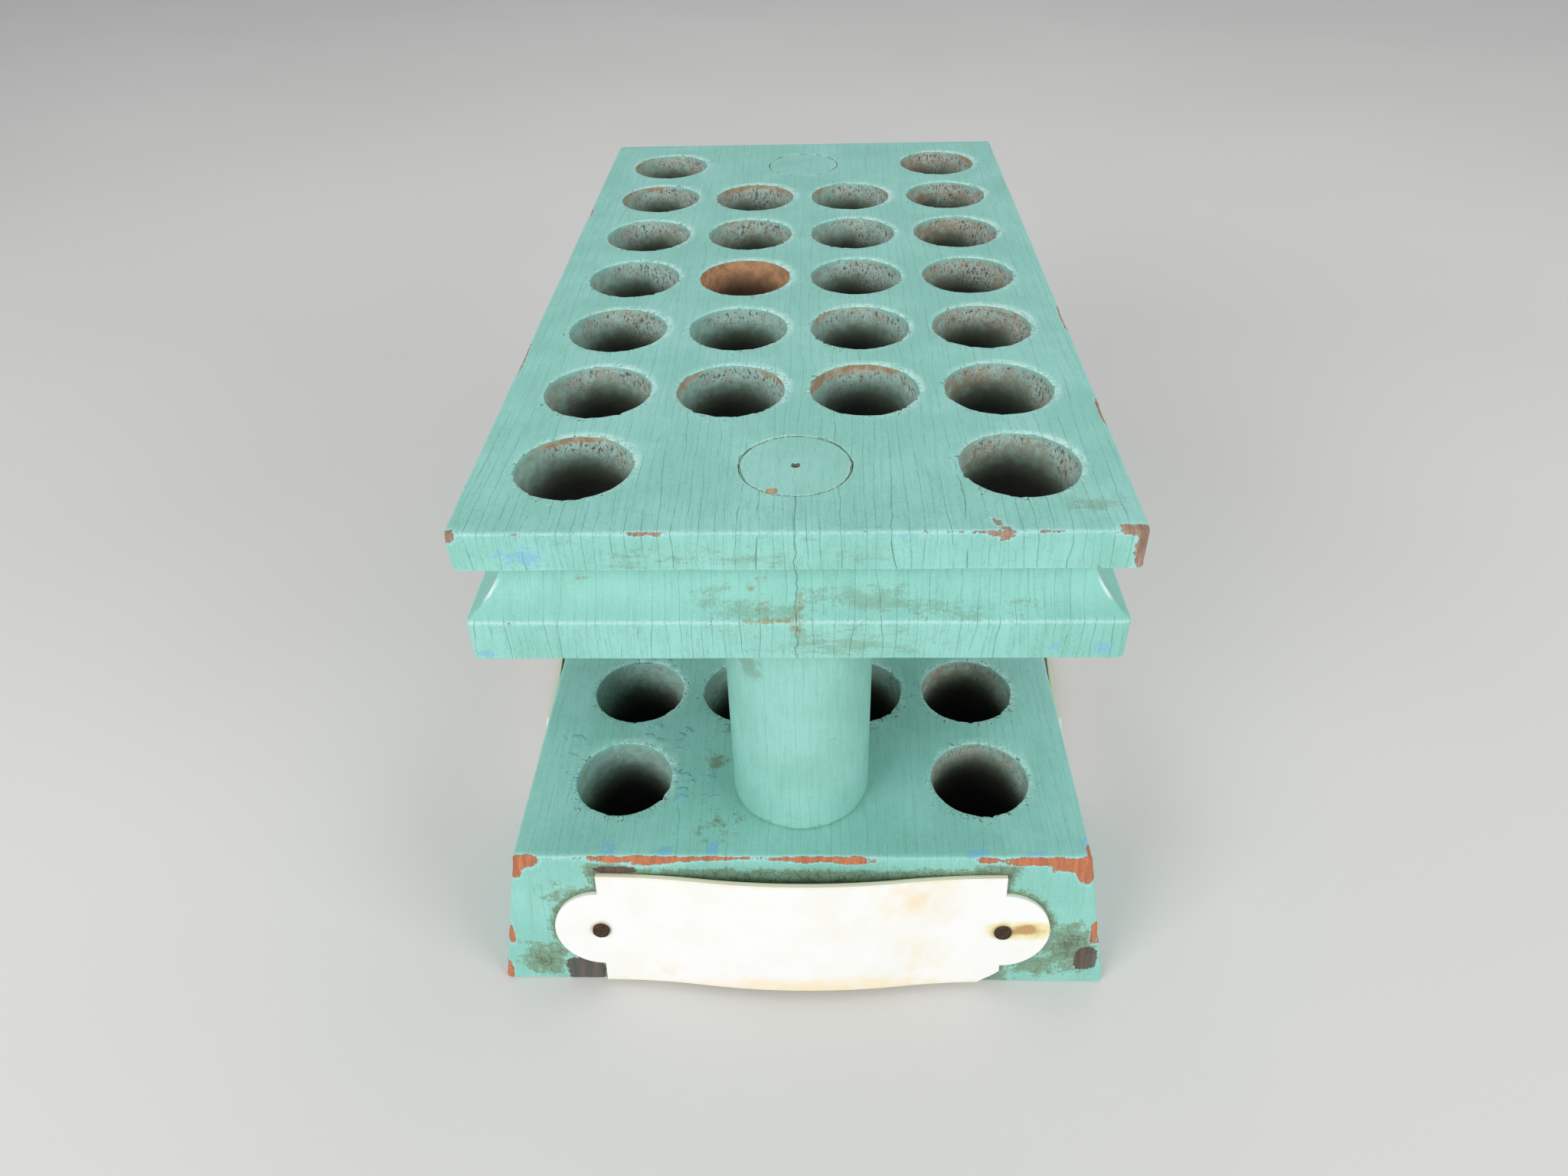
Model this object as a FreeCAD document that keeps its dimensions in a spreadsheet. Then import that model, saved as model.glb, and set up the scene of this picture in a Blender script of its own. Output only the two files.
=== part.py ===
"""Two-tier counter stand for hand tools, in painted wood.

A thick top block with a coved edge stands on two turned posts over a tapered
base. Tools drop through a grid of holes in the top block and their tips stop in
blind holes in the base. Three bowed name plates are pinned to the base's sides.

Frame: millimetres, +Z up, the origin at the centre of the base's underside.
The front, with the shorter plate, faces -Y. The length runs along Y.
"""
import FreeCAD, Part
import math
import os
import Sketcher

Vector = FreeCAD.Vector

# Driving dimensions: name, value in millimetres or degrees, what it is
SIZES = (
    ("top_length", 190.0, "top block, front to back"),
    ("top_width", 104.0, "top block, side to side"),
    ("slab_edge", 7.1, "height of the square edge above the cove"),
    ("cove_height", 10.0, "height of the hollow moulding"),
    ("cove_step", 6.4, "how far the cove goes in under the slab edge"),
    ("cove_radius", 13.3, "radius of the cutter that made the cove"),
    ("lip_height", 7.9, "height of the square lip below the cove"),
    ("corner_round", 1.2, "worn round of the upright corners"),
    ("arris_ease", 0.5, "bevel worn on the top block's long edges"),
    ("hole_diameter", 19.05, "tool holes, a three-quarter inch bit"),
    ("row_pitch", 25.4, "from one row of holes to the next"),
    ("column_pitch", 23.7, "from one column of holes to the next"),
    ("thinnest_wall", 0.5, "least wood between a tool hole and the cove"),
    ("tier_gap", 48.4, "clear height between the base and the top block"),
    ("base_end_margin", 1.0, "base's top edge outside the top block's, at the ends"),
    ("base_side_margin", 2.25, "base's top edge outside the top block's, at the sides"),
    ("base_height", 31.5, "height of the base"),
    ("side_slope", 9.8, "lean of the base's four sides, in degrees"),
    ("base_arris_ease", 0.6, "bevel worn on the base's top edges"),
    ("base_corner_ease", 0.8, "bevel worn on the base's sloping corners"),
    ("base_hole_depth", 24.0, "depth of the blind tool holes in the base"),
    ("post_diameter", 26.7, "turned posts"),
    ("tenon_diameter", 18.1, "round tenons at both ends of a post"),
    ("base_tenon_length", 20.0, "length of the tenon let into the base"),
    ("tenon_fit", 0.05, "glue line around a tenon"),
    ("tenon_relief", 0.5, "space below a tenon in its socket"),
    ("tenon_recess", 0.15, "how far a tenon's end lies below the top face"),
    ("plate_height", 27.0, "name plates, top edge to bottom edge"),
    ("plate_thickness", 1.0, "thickness of a name plate"),
    ("plate_drop", 3.9, "from the base's top edge down its slope to a plate"),
    ("ear_radius", 9.0, "round ears at the plates' ends"),
    ("front_pin_inset", 15.55, "from the base's upper corners to the front plate's pins"),
    ("side_pin_inset", 40.5, "from the base's upper corners to the side plates' pins"),
    ("front_bow", 2.6, "how far the front plate has bowed out"),
    ("side_bow", 4.0, "how far the side plates have bowed out"),
    ("chip_width", 4.0, "piece lost from the front plate's lower corner"),
    ("chip_height", 2.8, "height of that lost piece"),
    ("seat_gap", 0.05, "play between a plate, its pins and the wood"),
    ("pin_diameter", 1.6, "shank of a plate pin"),
    ("pin_length", 11.0, "length of a pin below the plate's seat"),
    ("pin_relief", 0.5, "space past a pin's tip in its hole"),
    ("pin_head_diameter", 3.4, "low head of a pin"),
    ("pin_head_height", 0.7, "height of that head"),
)

VALUES = {name: value for name, value, note in SIZES}

# The grid takes as many holes as keep their wall to the cove
LEAST_MARGIN = VALUES["hole_diameter"] / 2 + VALUES["cove_step"] + VALUES["thinnest_wall"]
ROWS = 1 + int((VALUES["top_length"] - 2 * LEAST_MARGIN) / VALUES["row_pitch"])
COLUMNS = 1 + int((VALUES["top_width"] - 2 * LEAST_MARGIN) / VALUES["column_pitch"])

# Places that several pieces share, as expressions of the sheet
TOP_THICKNESS = "(sizes.lip_height + sizes.cove_height + sizes.slab_edge)"
COVE_TOP = "(sizes.lip_height + sizes.cove_height)"
TOP_UNDERSIDE = "(sizes.base_height + sizes.tier_gap)"
END_ROW = "(sizes.row_pitch * %g)" % ((ROWS - 1) / 2)
BASE_LENGTH = "(sizes.top_length + 2 * sizes.base_end_margin)"
BASE_WIDTH = "(sizes.top_width + 2 * sizes.base_side_margin)"
FRONT_SPACING = "(%s - 2 * sizes.front_pin_inset)" % BASE_WIDTH
SIDE_SPACING = "(%s - 2 * sizes.side_pin_inset)" % BASE_LENGTH
PLATE_CENTRE_DROP = "(sizes.plate_drop + sizes.plate_height / 2)"
SOCKET_DIAMETER = "(sizes.tenon_diameter + 2 * sizes.tenon_fit)"
PIN_HOLE_DIAMETER = "(sizes.pin_diameter + 2 * sizes.seat_gap)"

# How much a cutting sketch runs past the stock that it cuts
OVERRUN = 5.0

# Each plated side: its turn about Z in degrees, the base's size across it, the plate's
# pin spacing and its bow
SIDES = {
    "front": {"turn": 0, "depth": BASE_LENGTH, "spacing": FRONT_SPACING, "bow": "sizes.front_bow"},
    "left": {"turn": -90, "depth": BASE_WIDTH, "spacing": SIDE_SPACING, "bow": "sizes.side_bow"},
    "right": {"turn": 90, "depth": BASE_WIDTH, "spacing": SIDE_SPACING, "bow": "sizes.side_bow"},
}


def make_sheet(doc):
    """The sheet of driving dimensions, one alias a row."""
    sheet = doc.addObject("Spreadsheet::Sheet", "sizes")
    for row, (name, value, note) in enumerate(SIZES, start=1):
        sheet.set("A%d" % row, name)
        sheet.set("B%d" % row, str(value))
        sheet.setAlias("B%d" % row, name)
        sheet.set("C%d" % row, note)
    doc.recompute()
    return sheet


def amount(doc, expression):
    """The present value of an expression of the sheet."""
    return float(doc.sizes.evalExpression(expression.replace("sizes.", "")))


def bind(thing, **expressions):
    """Bind properties of an object, a dot in a path written as two underscores."""
    for path, expression in expressions.items():
        thing.setExpression(path.replace("__", "."), expression)


def origin_plane(body, role):
    return next(item for item in body.Origin.OriginFeatures if item.Role == role)


def new_body(doc, name):
    body = doc.addObject("PartDesign::Body", name)
    body.Label = name
    return body


def new_sketch(body, name, role, turn=0):
    """A sketch on an origin plane of its body, turned about the body's Z axis."""
    sketch = body.newObject("Sketcher::SketchObject", name)
    sketch.AttachmentSupport = [(origin_plane(body, role), "")]
    sketch.MapMode = "FlatFace"
    if turn:
        up = Vector(0, 0, 1) if role == "XY_Plane" else Vector(0, 1, 0)
        sketch.AttachmentOffset = FreeCAD.Placement(Vector(), FreeCAD.Rotation(up, turn))
    return sketch


def fix(sketch, kind, geometry, point, value, expression):
    """Dimension one point from the sketch's origin and bind the dimension."""
    index = sketch.addConstraint(Sketcher.Constraint(kind, -1, 1, geometry, point, value))
    sketch.setExpression("Constraints[%d]" % index, expression)


def add_circle(doc, sketch, x, y, diameter):
    """A circle whose centre and diameter are expressions."""
    centre = Vector(amount(doc, x), amount(doc, y), 0)
    radius = amount(doc, diameter) / 2
    circle = sketch.addGeometry(Part.Circle(centre, Vector(0, 0, 1), radius))
    fix(sketch, "DistanceX", circle, 3, centre.x, x)
    fix(sketch, "DistanceY", circle, 3, centre.y, y)
    index = sketch.addConstraint(Sketcher.Constraint("Diameter", circle, 2 * radius))
    sketch.setExpression("Constraints[%d]" % index, diameter)


def arc_middle(start, end, radius, bulge):
    """The middle of the shorter arc, to the right of start to end where bulge is 1."""
    chord = end - start
    half = chord.Length / 2
    rise = radius - math.sqrt(max(radius ** 2 - half ** 2, 0.0))
    return (start + end) / 2 + Vector(chord.y, -chord.x, 0) / chord.Length * (rise * bulge)


def add_outline(doc, sketch, corners):
    """A closed outline through corners, each an expression pair and the edge after it.

    The edge is None for a straight line, or ("radius", expression, bulge), or
    ("centre_x", expression, bulge) for a half circle about that place.
    """
    points = [Vector(amount(doc, x), amount(doc, y), 0) for x, y, edge in corners]
    ends = []
    for place, (x, y, edge) in enumerate(corners):
        start = points[place]
        end = points[(place + 1) % len(points)]
        if edge is None:
            geometry = sketch.addGeometry(Part.LineSegment(start, end))
        else:
            kind, expression, bulge = edge
            radius = amount(doc, expression) if kind == "radius" else (end - start).Length / 2
            middle = arc_middle(start, end, radius, bulge)
            geometry = sketch.addGeometry(Part.Arc(start, middle, end))
        first = 1 if (sketch.getPoint(geometry, 1) - start).Length < 1e-6 else 2
        ends.append((geometry, first, 3 - first))
    for place, (geometry, first, last) in enumerate(ends):
        following, next_first, _ = ends[(place + 1) % len(ends)]
        sketch.addConstraint(Sketcher.Constraint("Coincident", geometry, last, following, next_first))
    for (geometry, first, _), point, (x, y, edge) in zip(ends, points, corners):
        fix(sketch, "DistanceX", geometry, first, point.x, x)
        fix(sketch, "DistanceY", geometry, first, point.y, y)
        if edge is None:
            continue
        kind, expression, _ = edge
        if kind == "radius":
            value = amount(doc, expression)
            index = sketch.addConstraint(Sketcher.Constraint("Radius", geometry, value))
            sketch.setExpression("Constraints[%d]" % index, expression)
        else:
            fix(sketch, "DistanceX", geometry, 3, amount(doc, expression), expression)


def rectangle(doc, sketch, x, y):
    """A rectangle about the origin, given half its sides."""
    add_outline(doc, sketch, [
        ("-" + x, "-" + y, None),
        (x, "-" + y, None),
        (x, y, None),
        ("-" + x, y, None),
    ])


def rounded_rectangle(doc, sketch, length_x, length_y, radius):
    """A rectangle about the origin with quarter-round corners."""
    x = "(%s / 2)" % length_x
    y = "(%s / 2)" % length_y
    near_x = "(%s - %s)" % (x, radius)
    near_y = "(%s - %s)" % (y, radius)
    turn = ("radius", radius, 1)
    add_outline(doc, sketch, [
        ("-" + near_x, "-" + y, None),
        (near_x, "-" + y, turn),
        (x, "-" + near_y, None),
        (x, near_y, turn),
        (near_x, y, None),
        ("-" + near_x, y, turn),
        ("-" + x, near_y, None),
        ("-" + x, "-" + near_y, turn),
    ])


def cut_through(body, name, sketch):
    """A pocket that cuts both ways through the whole body."""
    pocket = body.newObject("PartDesign::Pocket", name)
    pocket.Profile = sketch
    pocket.Type = "ThroughAll"
    pocket.Midplane = True
    return pocket


def tool_hole_places():
    """Row and column steps of each tool hole, counted from the middle of the grid.

    In the end rows the holes that would meet a post are left out.
    """
    clear_of_post = (VALUES["hole_diameter"] + VALUES["post_diameter"]) / 2
    places = []
    for row in range(ROWS):
        for column in range(COLUMNS):
            step = column - (COLUMNS - 1) / 2
            meets_post = abs(step) * VALUES["column_pitch"] < clear_of_post
            if row in (0, ROWS - 1) and meets_post:
                continue
            places.append((row - (ROWS - 1) / 2, step))
    return places


def add_tool_holes(doc, sketch):
    for row, column in tool_hole_places():
        add_circle(doc, sketch, "sizes.column_pitch * %g" % column, "sizes.row_pitch * %g" % row,
                   "sizes.hole_diameter")


def add_tenon_holes(doc, sketch):
    for sign in ("-", ""):
        add_circle(doc, sketch, "0", sign + END_ROW, SOCKET_DIAMETER)


def edges_at(shape, height):
    """Names of the edges that lie flat at one height."""
    names = []
    for index, edge in enumerate(shape.Edges, start=1):
        box = edge.BoundBox
        if abs(box.ZMin - height) < 1e-4 and abs(box.ZMax - height) < 1e-4:
            names.append("Edge%d" % index)
    return names


def sloping_edges(shape):
    """Names of the edges that climb from the bottom to the top."""
    return ["Edge%d" % index for index, edge in enumerate(shape.Edges, start=1)
            if edge.BoundBox.ZLength > 1e-4]


def add_chamfer(body, name, feature, edges, size):
    chamfer = body.newObject("PartDesign::Chamfer", name)
    chamfer.Base = (feature, edges)
    bind(chamfer, Size=size)
    return chamfer


def cove_grooves(doc, sketch, width):
    """Two grooves, one a side, that leave the slab edge above and the lip below."""
    face = "%s / 2" % width
    bottom = "sizes.lip_height"
    beyond = "%s + %g" % (face, OVERRUN)
    inner = "%s - sizes.cove_step" % face
    for sign, bulge in ((1, -1), (-1, 1)):
        def side(expression):
            return expression if sign == 1 else "-(%s)" % expression
        add_outline(doc, sketch, [
            (side(face), bottom, None),
            (side(beyond), bottom, None),
            (side(beyond), COVE_TOP, None),
            (side(inner), COVE_TOP, ("radius", "sizes.cove_radius", -bulge)),
        ])


def make_top_block(doc):
    """The top block: a board with a cove run round it and holes through it."""
    body = new_body(doc, "top_block")
    plan = new_sketch(body, "top_plan", "XY_Plane")
    rounded_rectangle(doc, plan, "sizes.top_width", "sizes.top_length", "sizes.corner_round")
    board = body.newObject("PartDesign::Pad", "board")
    board.Profile = plan
    bind(board, Length=TOP_THICKNESS)

    side_profile = new_sketch(body, "side_cove_profile", "XZ_Plane")
    cove_grooves(doc, side_profile, "sizes.top_width")
    cut_through(body, "side_coves", side_profile)

    end_profile = new_sketch(body, "end_cove_profile", "YZ_Plane")
    cove_grooves(doc, end_profile, "sizes.top_length")
    end_coves = cut_through(body, "end_coves", end_profile)
    doc.recompute()

    outer = edges_at(end_coves.Shape, 0.0) + edges_at(end_coves.Shape, amount(doc, TOP_THICKNESS))
    add_chamfer(body, "eased_arrises", end_coves, outer, "sizes.arris_ease")
    doc.recompute()

    grid = new_sketch(body, "hole_grid", "XY_Plane")
    add_tool_holes(doc, grid)
    add_tenon_holes(doc, grid)
    cut_through(body, "holes", grid)
    bind(body, Placement__Base__z=TOP_UNDERSIDE)
    return body


def face_place(side, along, out):
    """Expressions for a point on a sloping side of the base, at the plates' mid height.

    along runs to the right of someone who faces that side, out stands off the face.
    """
    reach = "(%s / 2 + %s * sin(sizes.side_slope) + (%s) * cos(sizes.side_slope))" % (
        SIDES[side]["depth"], PLATE_CENTRE_DROP, out)
    height = "sizes.base_height - %s * cos(sizes.side_slope) + (%s) * sin(sizes.side_slope)" % (
        PLATE_CENTRE_DROP, out)
    if side == "front":
        return along, "-" + reach, height
    if side == "left":
        return "-" + reach, "-(%s)" % along, height
    return reach, along, height


def side_axis(side):
    """The level axis that lies along a side, about which its slope leans."""
    turn = FreeCAD.Rotation(Vector(0, 0, 1), SIDES[side]["turn"])
    return turn.multVec(Vector(1, 0, 0))


def lean(doc, thing, name, axis, angle, place):
    """Bind a placement of a thing: its point, and its turn about a level axis."""
    turn = FreeCAD.Rotation(axis, amount(doc, angle))
    setattr(thing, name, FreeCAD.Placement(Vector(), turn))
    for part, expression in zip(("Base.x", "Base.y", "Base.z", "Rotation.Angle"), (*place, angle)):
        thing.setExpression("%s.%s" % (name, part), expression)


def pin_places():
    """Each pin's side and its place along that side, half a spacing each way."""
    places = []
    for side in SIDES:
        for sign in ("-", ""):
            places.append((side, "%s(%s / 2)" % (sign, SIDES[side]["spacing"])))
    return places


def make_base_block(doc):
    """The base: a board with sloping sides, blind tool holes and two sockets."""
    body = new_body(doc, "base_block")
    half_width = "(%s / 2)" % BASE_WIDTH
    half_length = "(%s / 2)" % BASE_LENGTH
    flare = "sizes.base_height * tan(sizes.side_slope)"
    foot_width = "(%s + %s)" % (half_width, flare)
    foot_length = "(%s + %s)" % (half_length, flare)

    section = new_sketch(body, "base_section", "XZ_Plane")
    add_outline(doc, section, [
        ("-" + foot_width, "0", None),
        (foot_width, "0", None),
        (half_width, "sizes.base_height", None),
        ("-" + half_width, "sizes.base_height", None),
    ])
    board = body.newObject("PartDesign::Pad", "sloping_board")
    board.Profile = section
    board.Midplane = True
    bind(board, Length="2 * " + foot_length)

    end_profile = new_sketch(body, "end_slope_profile", "YZ_Plane")
    for sign in ("-", ""):
        beyond = "%s(%s + %g)" % (sign, foot_length, OVERRUN)
        add_outline(doc, end_profile, [
            (sign + foot_length, "0", None),
            (beyond, "0", None),
            (beyond, "sizes.base_height", None),
            (sign + half_length, "sizes.base_height", None),
        ])
    end_slopes = cut_through(body, "end_slopes", end_profile)
    doc.recompute()

    corners = add_chamfer(body, "eased_corners", end_slopes, sloping_edges(end_slopes.Shape),
                          "sizes.base_corner_ease")
    doc.recompute()
    top = edges_at(corners.Shape, amount(doc, "sizes.base_height"))
    add_chamfer(body, "eased_top_arris", corners, top, "sizes.base_arris_ease")
    doc.recompute()

    for name, fill, depth in (
            ("blind_tool_holes", add_tool_holes, "sizes.base_hole_depth"),
            ("tenon_sockets", add_tenon_holes, "sizes.base_tenon_length + sizes.tenon_relief")):
        sketch = new_sketch(body, name + "_plan", "XY_Plane")
        fill(doc, sketch)
        bind(sketch, AttachmentOffset__Base__z="sizes.base_height")
        pocket = body.newObject("PartDesign::Pocket", name)
        pocket.Profile = sketch
        bind(pocket, Length=depth)
        doc.recompute()

    for number, (side, along) in enumerate(pin_places(), start=1):
        hole = body.newObject("PartDesign::SubtractiveCylinder", "pin_hole_%d" % number)
        hole.AttachmentSupport = [(origin_plane(body, "XY_Plane"), "")]
        hole.MapMode = "FlatFace"
        start = face_place(side, along, "%g" % OVERRUN)
        lean(doc, hole, "AttachmentOffset", side_axis(side) * -1, "90 + sizes.side_slope", start)
        bind(hole, Radius=PIN_HOLE_DIAMETER + " / 2",
             Height="sizes.pin_length + sizes.pin_relief + %g" % OVERRUN)
        doc.recompute()
    return body


def make_post(doc, name, sign):
    """A turned post: a plain cylinder with a round tenon at each end."""
    body = new_body(doc, name)
    profile = new_sketch(body, name + "_profile", "XZ_Plane")
    post = "sizes.post_diameter / 2"
    tenon = "sizes.tenon_diameter / 2"
    end = "sizes.tier_gap + %s - sizes.tenon_recess" % TOP_THICKNESS
    add_outline(doc, profile, [
        ("0", "-sizes.base_tenon_length", None),
        (tenon, "-sizes.base_tenon_length", None),
        (tenon, "0", None),
        (post, "0", None),
        (post, "sizes.tier_gap", None),
        (tenon, "sizes.tier_gap", None),
        (tenon, end, None),
        ("0", end, None),
    ])
    turned = body.newObject("PartDesign::Revolution", name + "_turned")
    turned.Profile = profile
    turned.ReferenceAxis = (profile, ["V_Axis"])
    turned.Angle = 360.0
    bind(body, Placement__Base__y=sign + END_ROW, Placement__Base__z="sizes.base_height")
    return body


def bowed_path(half, spacing, bow, level):
    """Corners of one face of a bowed plate, from its left end to its right end."""
    radius = "(((%s / 2) ^ 2 + (%s) ^ 2) / (4 * %s))" % (spacing, bow, bow)
    return [
        ("-(%s)" % half, level, None),
        ("-(%s / 2)" % spacing, level, ("radius", radius, -1)),
        ("-(%s / 4)" % spacing, "%s - %s / 2" % (level, bow), ("radius", radius, 1)),
        ("%s / 4" % spacing, "%s - %s / 2" % (level, bow), ("radius", radius, -1)),
        ("%s / 2" % spacing, level, None),
        (half, level, None),
    ]


def reversed_path(corners):
    """The same corners walked the other way, with each edge kept between its ends."""
    edges = [corner[2] for corner in corners[:-1]]
    flipped = [edge and (edge[0], edge[1], -edge[2]) for edge in reversed(edges)]
    places = [corner[:2] for corner in reversed(corners)]
    return [(x, y, edge) for (x, y), edge in zip(places, flipped + [None])]


def make_plate(doc, side):
    """A thin name plate, flat at its round ears and bowed out between its pins."""
    body = new_body(doc, side + "_plate")
    turn = SIDES[side]["turn"]
    spacing = SIDES[side]["spacing"]
    half = "%s / 2 + sizes.ear_radius" % spacing
    shoulder = "%s / 2" % spacing
    edge = "sizes.plate_height / 2"

    section = new_sketch(body, side + "_section", "XY_Plane", turn)
    back = bowed_path(half, spacing, SIDES[side]["bow"], "0")
    front = bowed_path(half, spacing, SIDES[side]["bow"], "-sizes.plate_thickness")
    add_outline(doc, section, front + reversed_path(back))
    strip = body.newObject("PartDesign::Pad", side + "_strip")
    strip.Profile = section
    strip.Midplane = True
    bind(strip, Length="sizes.plate_height")
    doc.recompute()

    outline = new_sketch(body, side + "_outline", "XZ_Plane", turn)
    rectangle(doc, outline, "(%s + %g)" % (half, OVERRUN), "(%s + %g)" % (edge, OVERRUN))
    lower_right = [(shoulder, "-(%s)" % edge, None)]
    if side == "front":
        lower_right = [("%s - sizes.chip_width" % shoulder, "-(%s)" % edge, None),
                       (shoulder, "-(%s) + sizes.chip_height" % edge, None)]
    add_outline(doc, outline, [
        ("-(%s)" % shoulder, "-(%s)" % edge, None),
        *lower_right,
        (shoulder, "-sizes.ear_radius", ("centre_x", shoulder, 1)),
        (shoulder, "sizes.ear_radius", None),
        (shoulder, edge, None),
        ("-(%s)" % shoulder, edge, None),
        ("-(%s)" % shoulder, "sizes.ear_radius", ("centre_x", "-(%s)" % shoulder, 1)),
        ("-(%s)" % shoulder, "-sizes.ear_radius", None),
    ])
    for sign in ("-", ""):
        add_circle(doc, outline, "%s(%s)" % (sign, shoulder), "0", PIN_HOLE_DIAMETER)
    cut_through(body, side + "_cut_out", outline)

    seat = face_place(side, "0", "sizes.seat_gap")
    lean(doc, body, "Placement", side_axis(side) * -1, "sizes.side_slope", seat)
    return body


def make_pin(doc, name, side, along):
    """A flat-headed pin, driven square to the side of the base through a plate."""
    body = new_body(doc, name)
    profile = new_sketch(body, name + "_profile", "XZ_Plane")
    seat = "sizes.plate_thickness + 2 * sizes.seat_gap"
    head = "sizes.pin_head_diameter / 2"
    crown = "%s + sizes.pin_head_height" % seat
    shank = "sizes.pin_diameter / 2"
    add_outline(doc, profile, [
        ("0", "-sizes.pin_length", None),
        (shank, "-sizes.pin_length", None),
        (shank, seat, None),
        (head, seat, None),
        (head, crown, None),
        ("0", crown, None),
    ])
    turned = body.newObject("PartDesign::Revolution", name + "_turned")
    turned.Profile = profile
    turned.ReferenceAxis = (profile, ["V_Axis"])
    turned.Angle = 360.0
    face = face_place(side, along, "0")
    lean(doc, body, "Placement", side_axis(side), "90 - sizes.side_slope", face)
    return body


def make_pins(doc):
    """All the plate pins, alike and separate, as one group."""
    pins = [make_pin(doc, "pin_%d" % number, side, along)
            for number, (side, along) in enumerate(pin_places(), start=1)]
    group = doc.addObject("Part::Compound", "plate_pins")
    group.Label = "plate_pins"
    group.Links = pins
    return group


def check(doc, pieces):
    """Stop if any object failed, or a piece has no sound shape."""
    failed = [item.Name for item in doc.Objects
              if any(word in item.State for word in ("Invalid", "Error"))]
    if failed:
        raise RuntimeError("failed objects: %s" % ", ".join(failed))
    for piece in pieces:
        if piece.Shape.isNull() or not piece.Shape.isValid() or not piece.Shape.Solids:
            raise RuntimeError("no sound shape: %s" % piece.Label)


def main():
    doc = FreeCAD.newDocument("tool_display_stand")
    make_sheet(doc)
    pieces = [
        make_base_block(doc),
        make_post(doc, "front_post", "-"),
        make_post(doc, "rear_post", ""),
        make_top_block(doc),
        make_plate(doc, "front"),
        make_plate(doc, "left"),
        make_plate(doc, "right"),
        make_pins(doc),
    ]
    doc.recompute()
    check(doc, pieces)
    os.makedirs("parts", exist_ok=True)
    for piece in pieces:
        box = piece.Shape.BoundBox
        print("%-12s %d solids %9.0f mm3  x %.1f..%.1f  y %.1f..%.1f  z %.1f..%.1f" % (
            piece.Label, len(piece.Shape.Solids), piece.Shape.Volume,
            box.XMin, box.XMax, box.YMin, box.YMax, box.ZMin, box.ZMax))
        piece.Shape.exportStep("parts/%s.step" % piece.Label)


main()
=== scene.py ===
"""Dresses the two-tier tool stand: worn teal paint on wood, bowed plates and pins.

Meshes are made in millimetres in the row frame and turned into metres at the end.
"""
import bpy
import math
import numpy as np
from mathutils import Matrix


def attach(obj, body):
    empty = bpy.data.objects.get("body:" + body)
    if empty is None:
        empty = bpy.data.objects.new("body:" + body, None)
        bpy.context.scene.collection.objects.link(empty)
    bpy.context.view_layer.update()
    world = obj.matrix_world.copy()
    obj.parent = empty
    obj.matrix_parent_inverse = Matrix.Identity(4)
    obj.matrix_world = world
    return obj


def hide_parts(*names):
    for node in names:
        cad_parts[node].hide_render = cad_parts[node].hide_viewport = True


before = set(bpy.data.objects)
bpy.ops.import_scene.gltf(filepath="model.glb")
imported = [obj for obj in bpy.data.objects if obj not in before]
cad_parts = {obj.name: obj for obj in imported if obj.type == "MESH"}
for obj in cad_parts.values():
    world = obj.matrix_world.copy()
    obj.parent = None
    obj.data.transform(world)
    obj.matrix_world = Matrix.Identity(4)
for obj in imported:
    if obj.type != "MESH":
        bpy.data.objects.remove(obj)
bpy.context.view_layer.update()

MM = 0.001

# Top block
TOP_HALF = (52.0, 95.0)
TOP_Z = 104.9
UNDER_Z = 79.9
THICK = TOP_Z - UNDER_Z
CORNER_ROUND = 1.2
LIP = 7.9
COVE_TOP = 17.9
COVE_STEP = 6.4
COVE_RADIUS = 13.3

# Grid of holes
COLUMN = 23.7
ROW = 25.4
HOLE = 9.525
POST_Y = 3 * ROW
SOCKET = 9.1
RIM_ROUND = 0.3
SAMPLES = 24
OPEN_RINGS = (1.0, 0.76, 0.54, 0.34, 0.18, 0.07, 0.0)
GRID_HALF = (2 * COLUMN, 3.5 * ROW)

# Base
BASE_HALF = (54.25, 96.0)
BASE_Z = 31.5
LEAN = math.radians(9.8)
BLIND = 24.0
SOCKET_RELIEF = 0.5

# Posts
POST = 13.35
TENON = 9.05
TENON_FOOT = 11.5
TENON_END = 104.75

# Plates and pins
PLATE_HALF = 13.5
PLATE_DEEP = 0.97
PLATE_DROP = 17.4
EAR = 9.0
SEAT_GAP = 0.05
CHIP = (4.0, 2.8)
# Each plate's pins, from its middle, and its bow
SIDES = {"front": (38.7, 2.6), "left": (55.5, 4.0), "right": (55.5, 4.0)}

# Values of fields: far from any edge or rim, and no spot here. An attribute that a mesh lacks
# reads as 0, so the distance from a tenon's edge is stored with SEAM_ZERO added.
FAR = 9.0
NONE = -1.0
SEAM_ZERO = 20.0


# Repeatable noise


def lattice(cell, seed):
    """A number from 0 to 1 for each whole-numbered place."""
    n = cell[:, 0] * 73856093 ^ cell[:, 1] * 19349663 ^ cell[:, 2] * 83492791 ^ seed * 26544357
    n = n & 0xFFFFFFFF
    n = ((n ^ (n >> 15)) * 2246822519) & 0xFFFFFFFF
    n = ((n ^ (n >> 13)) * 3266489917) & 0xFFFFFFFF
    return ((n ^ (n >> 16)) & 0xFFFFFF) / 0xFFFFFF


def lumps(points, size, seed):
    """Smooth noise from -1 to 1, with lumps of a size in millimetres, or of one for each axis."""
    place = points / np.asarray(size, float)
    cell = np.floor(place).astype(np.int64)
    part = place - cell
    part = part * part * (3 - 2 * part)
    total = np.zeros(len(points))
    for x in (0, 1):
        for y in (0, 1):
            for z in (0, 1):
                share = np.prod(np.where([x, y, z], part, 1 - part), axis=1)
                total += share * lattice(cell + [x, y, z], seed)
    return total * 2 - 1


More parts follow.
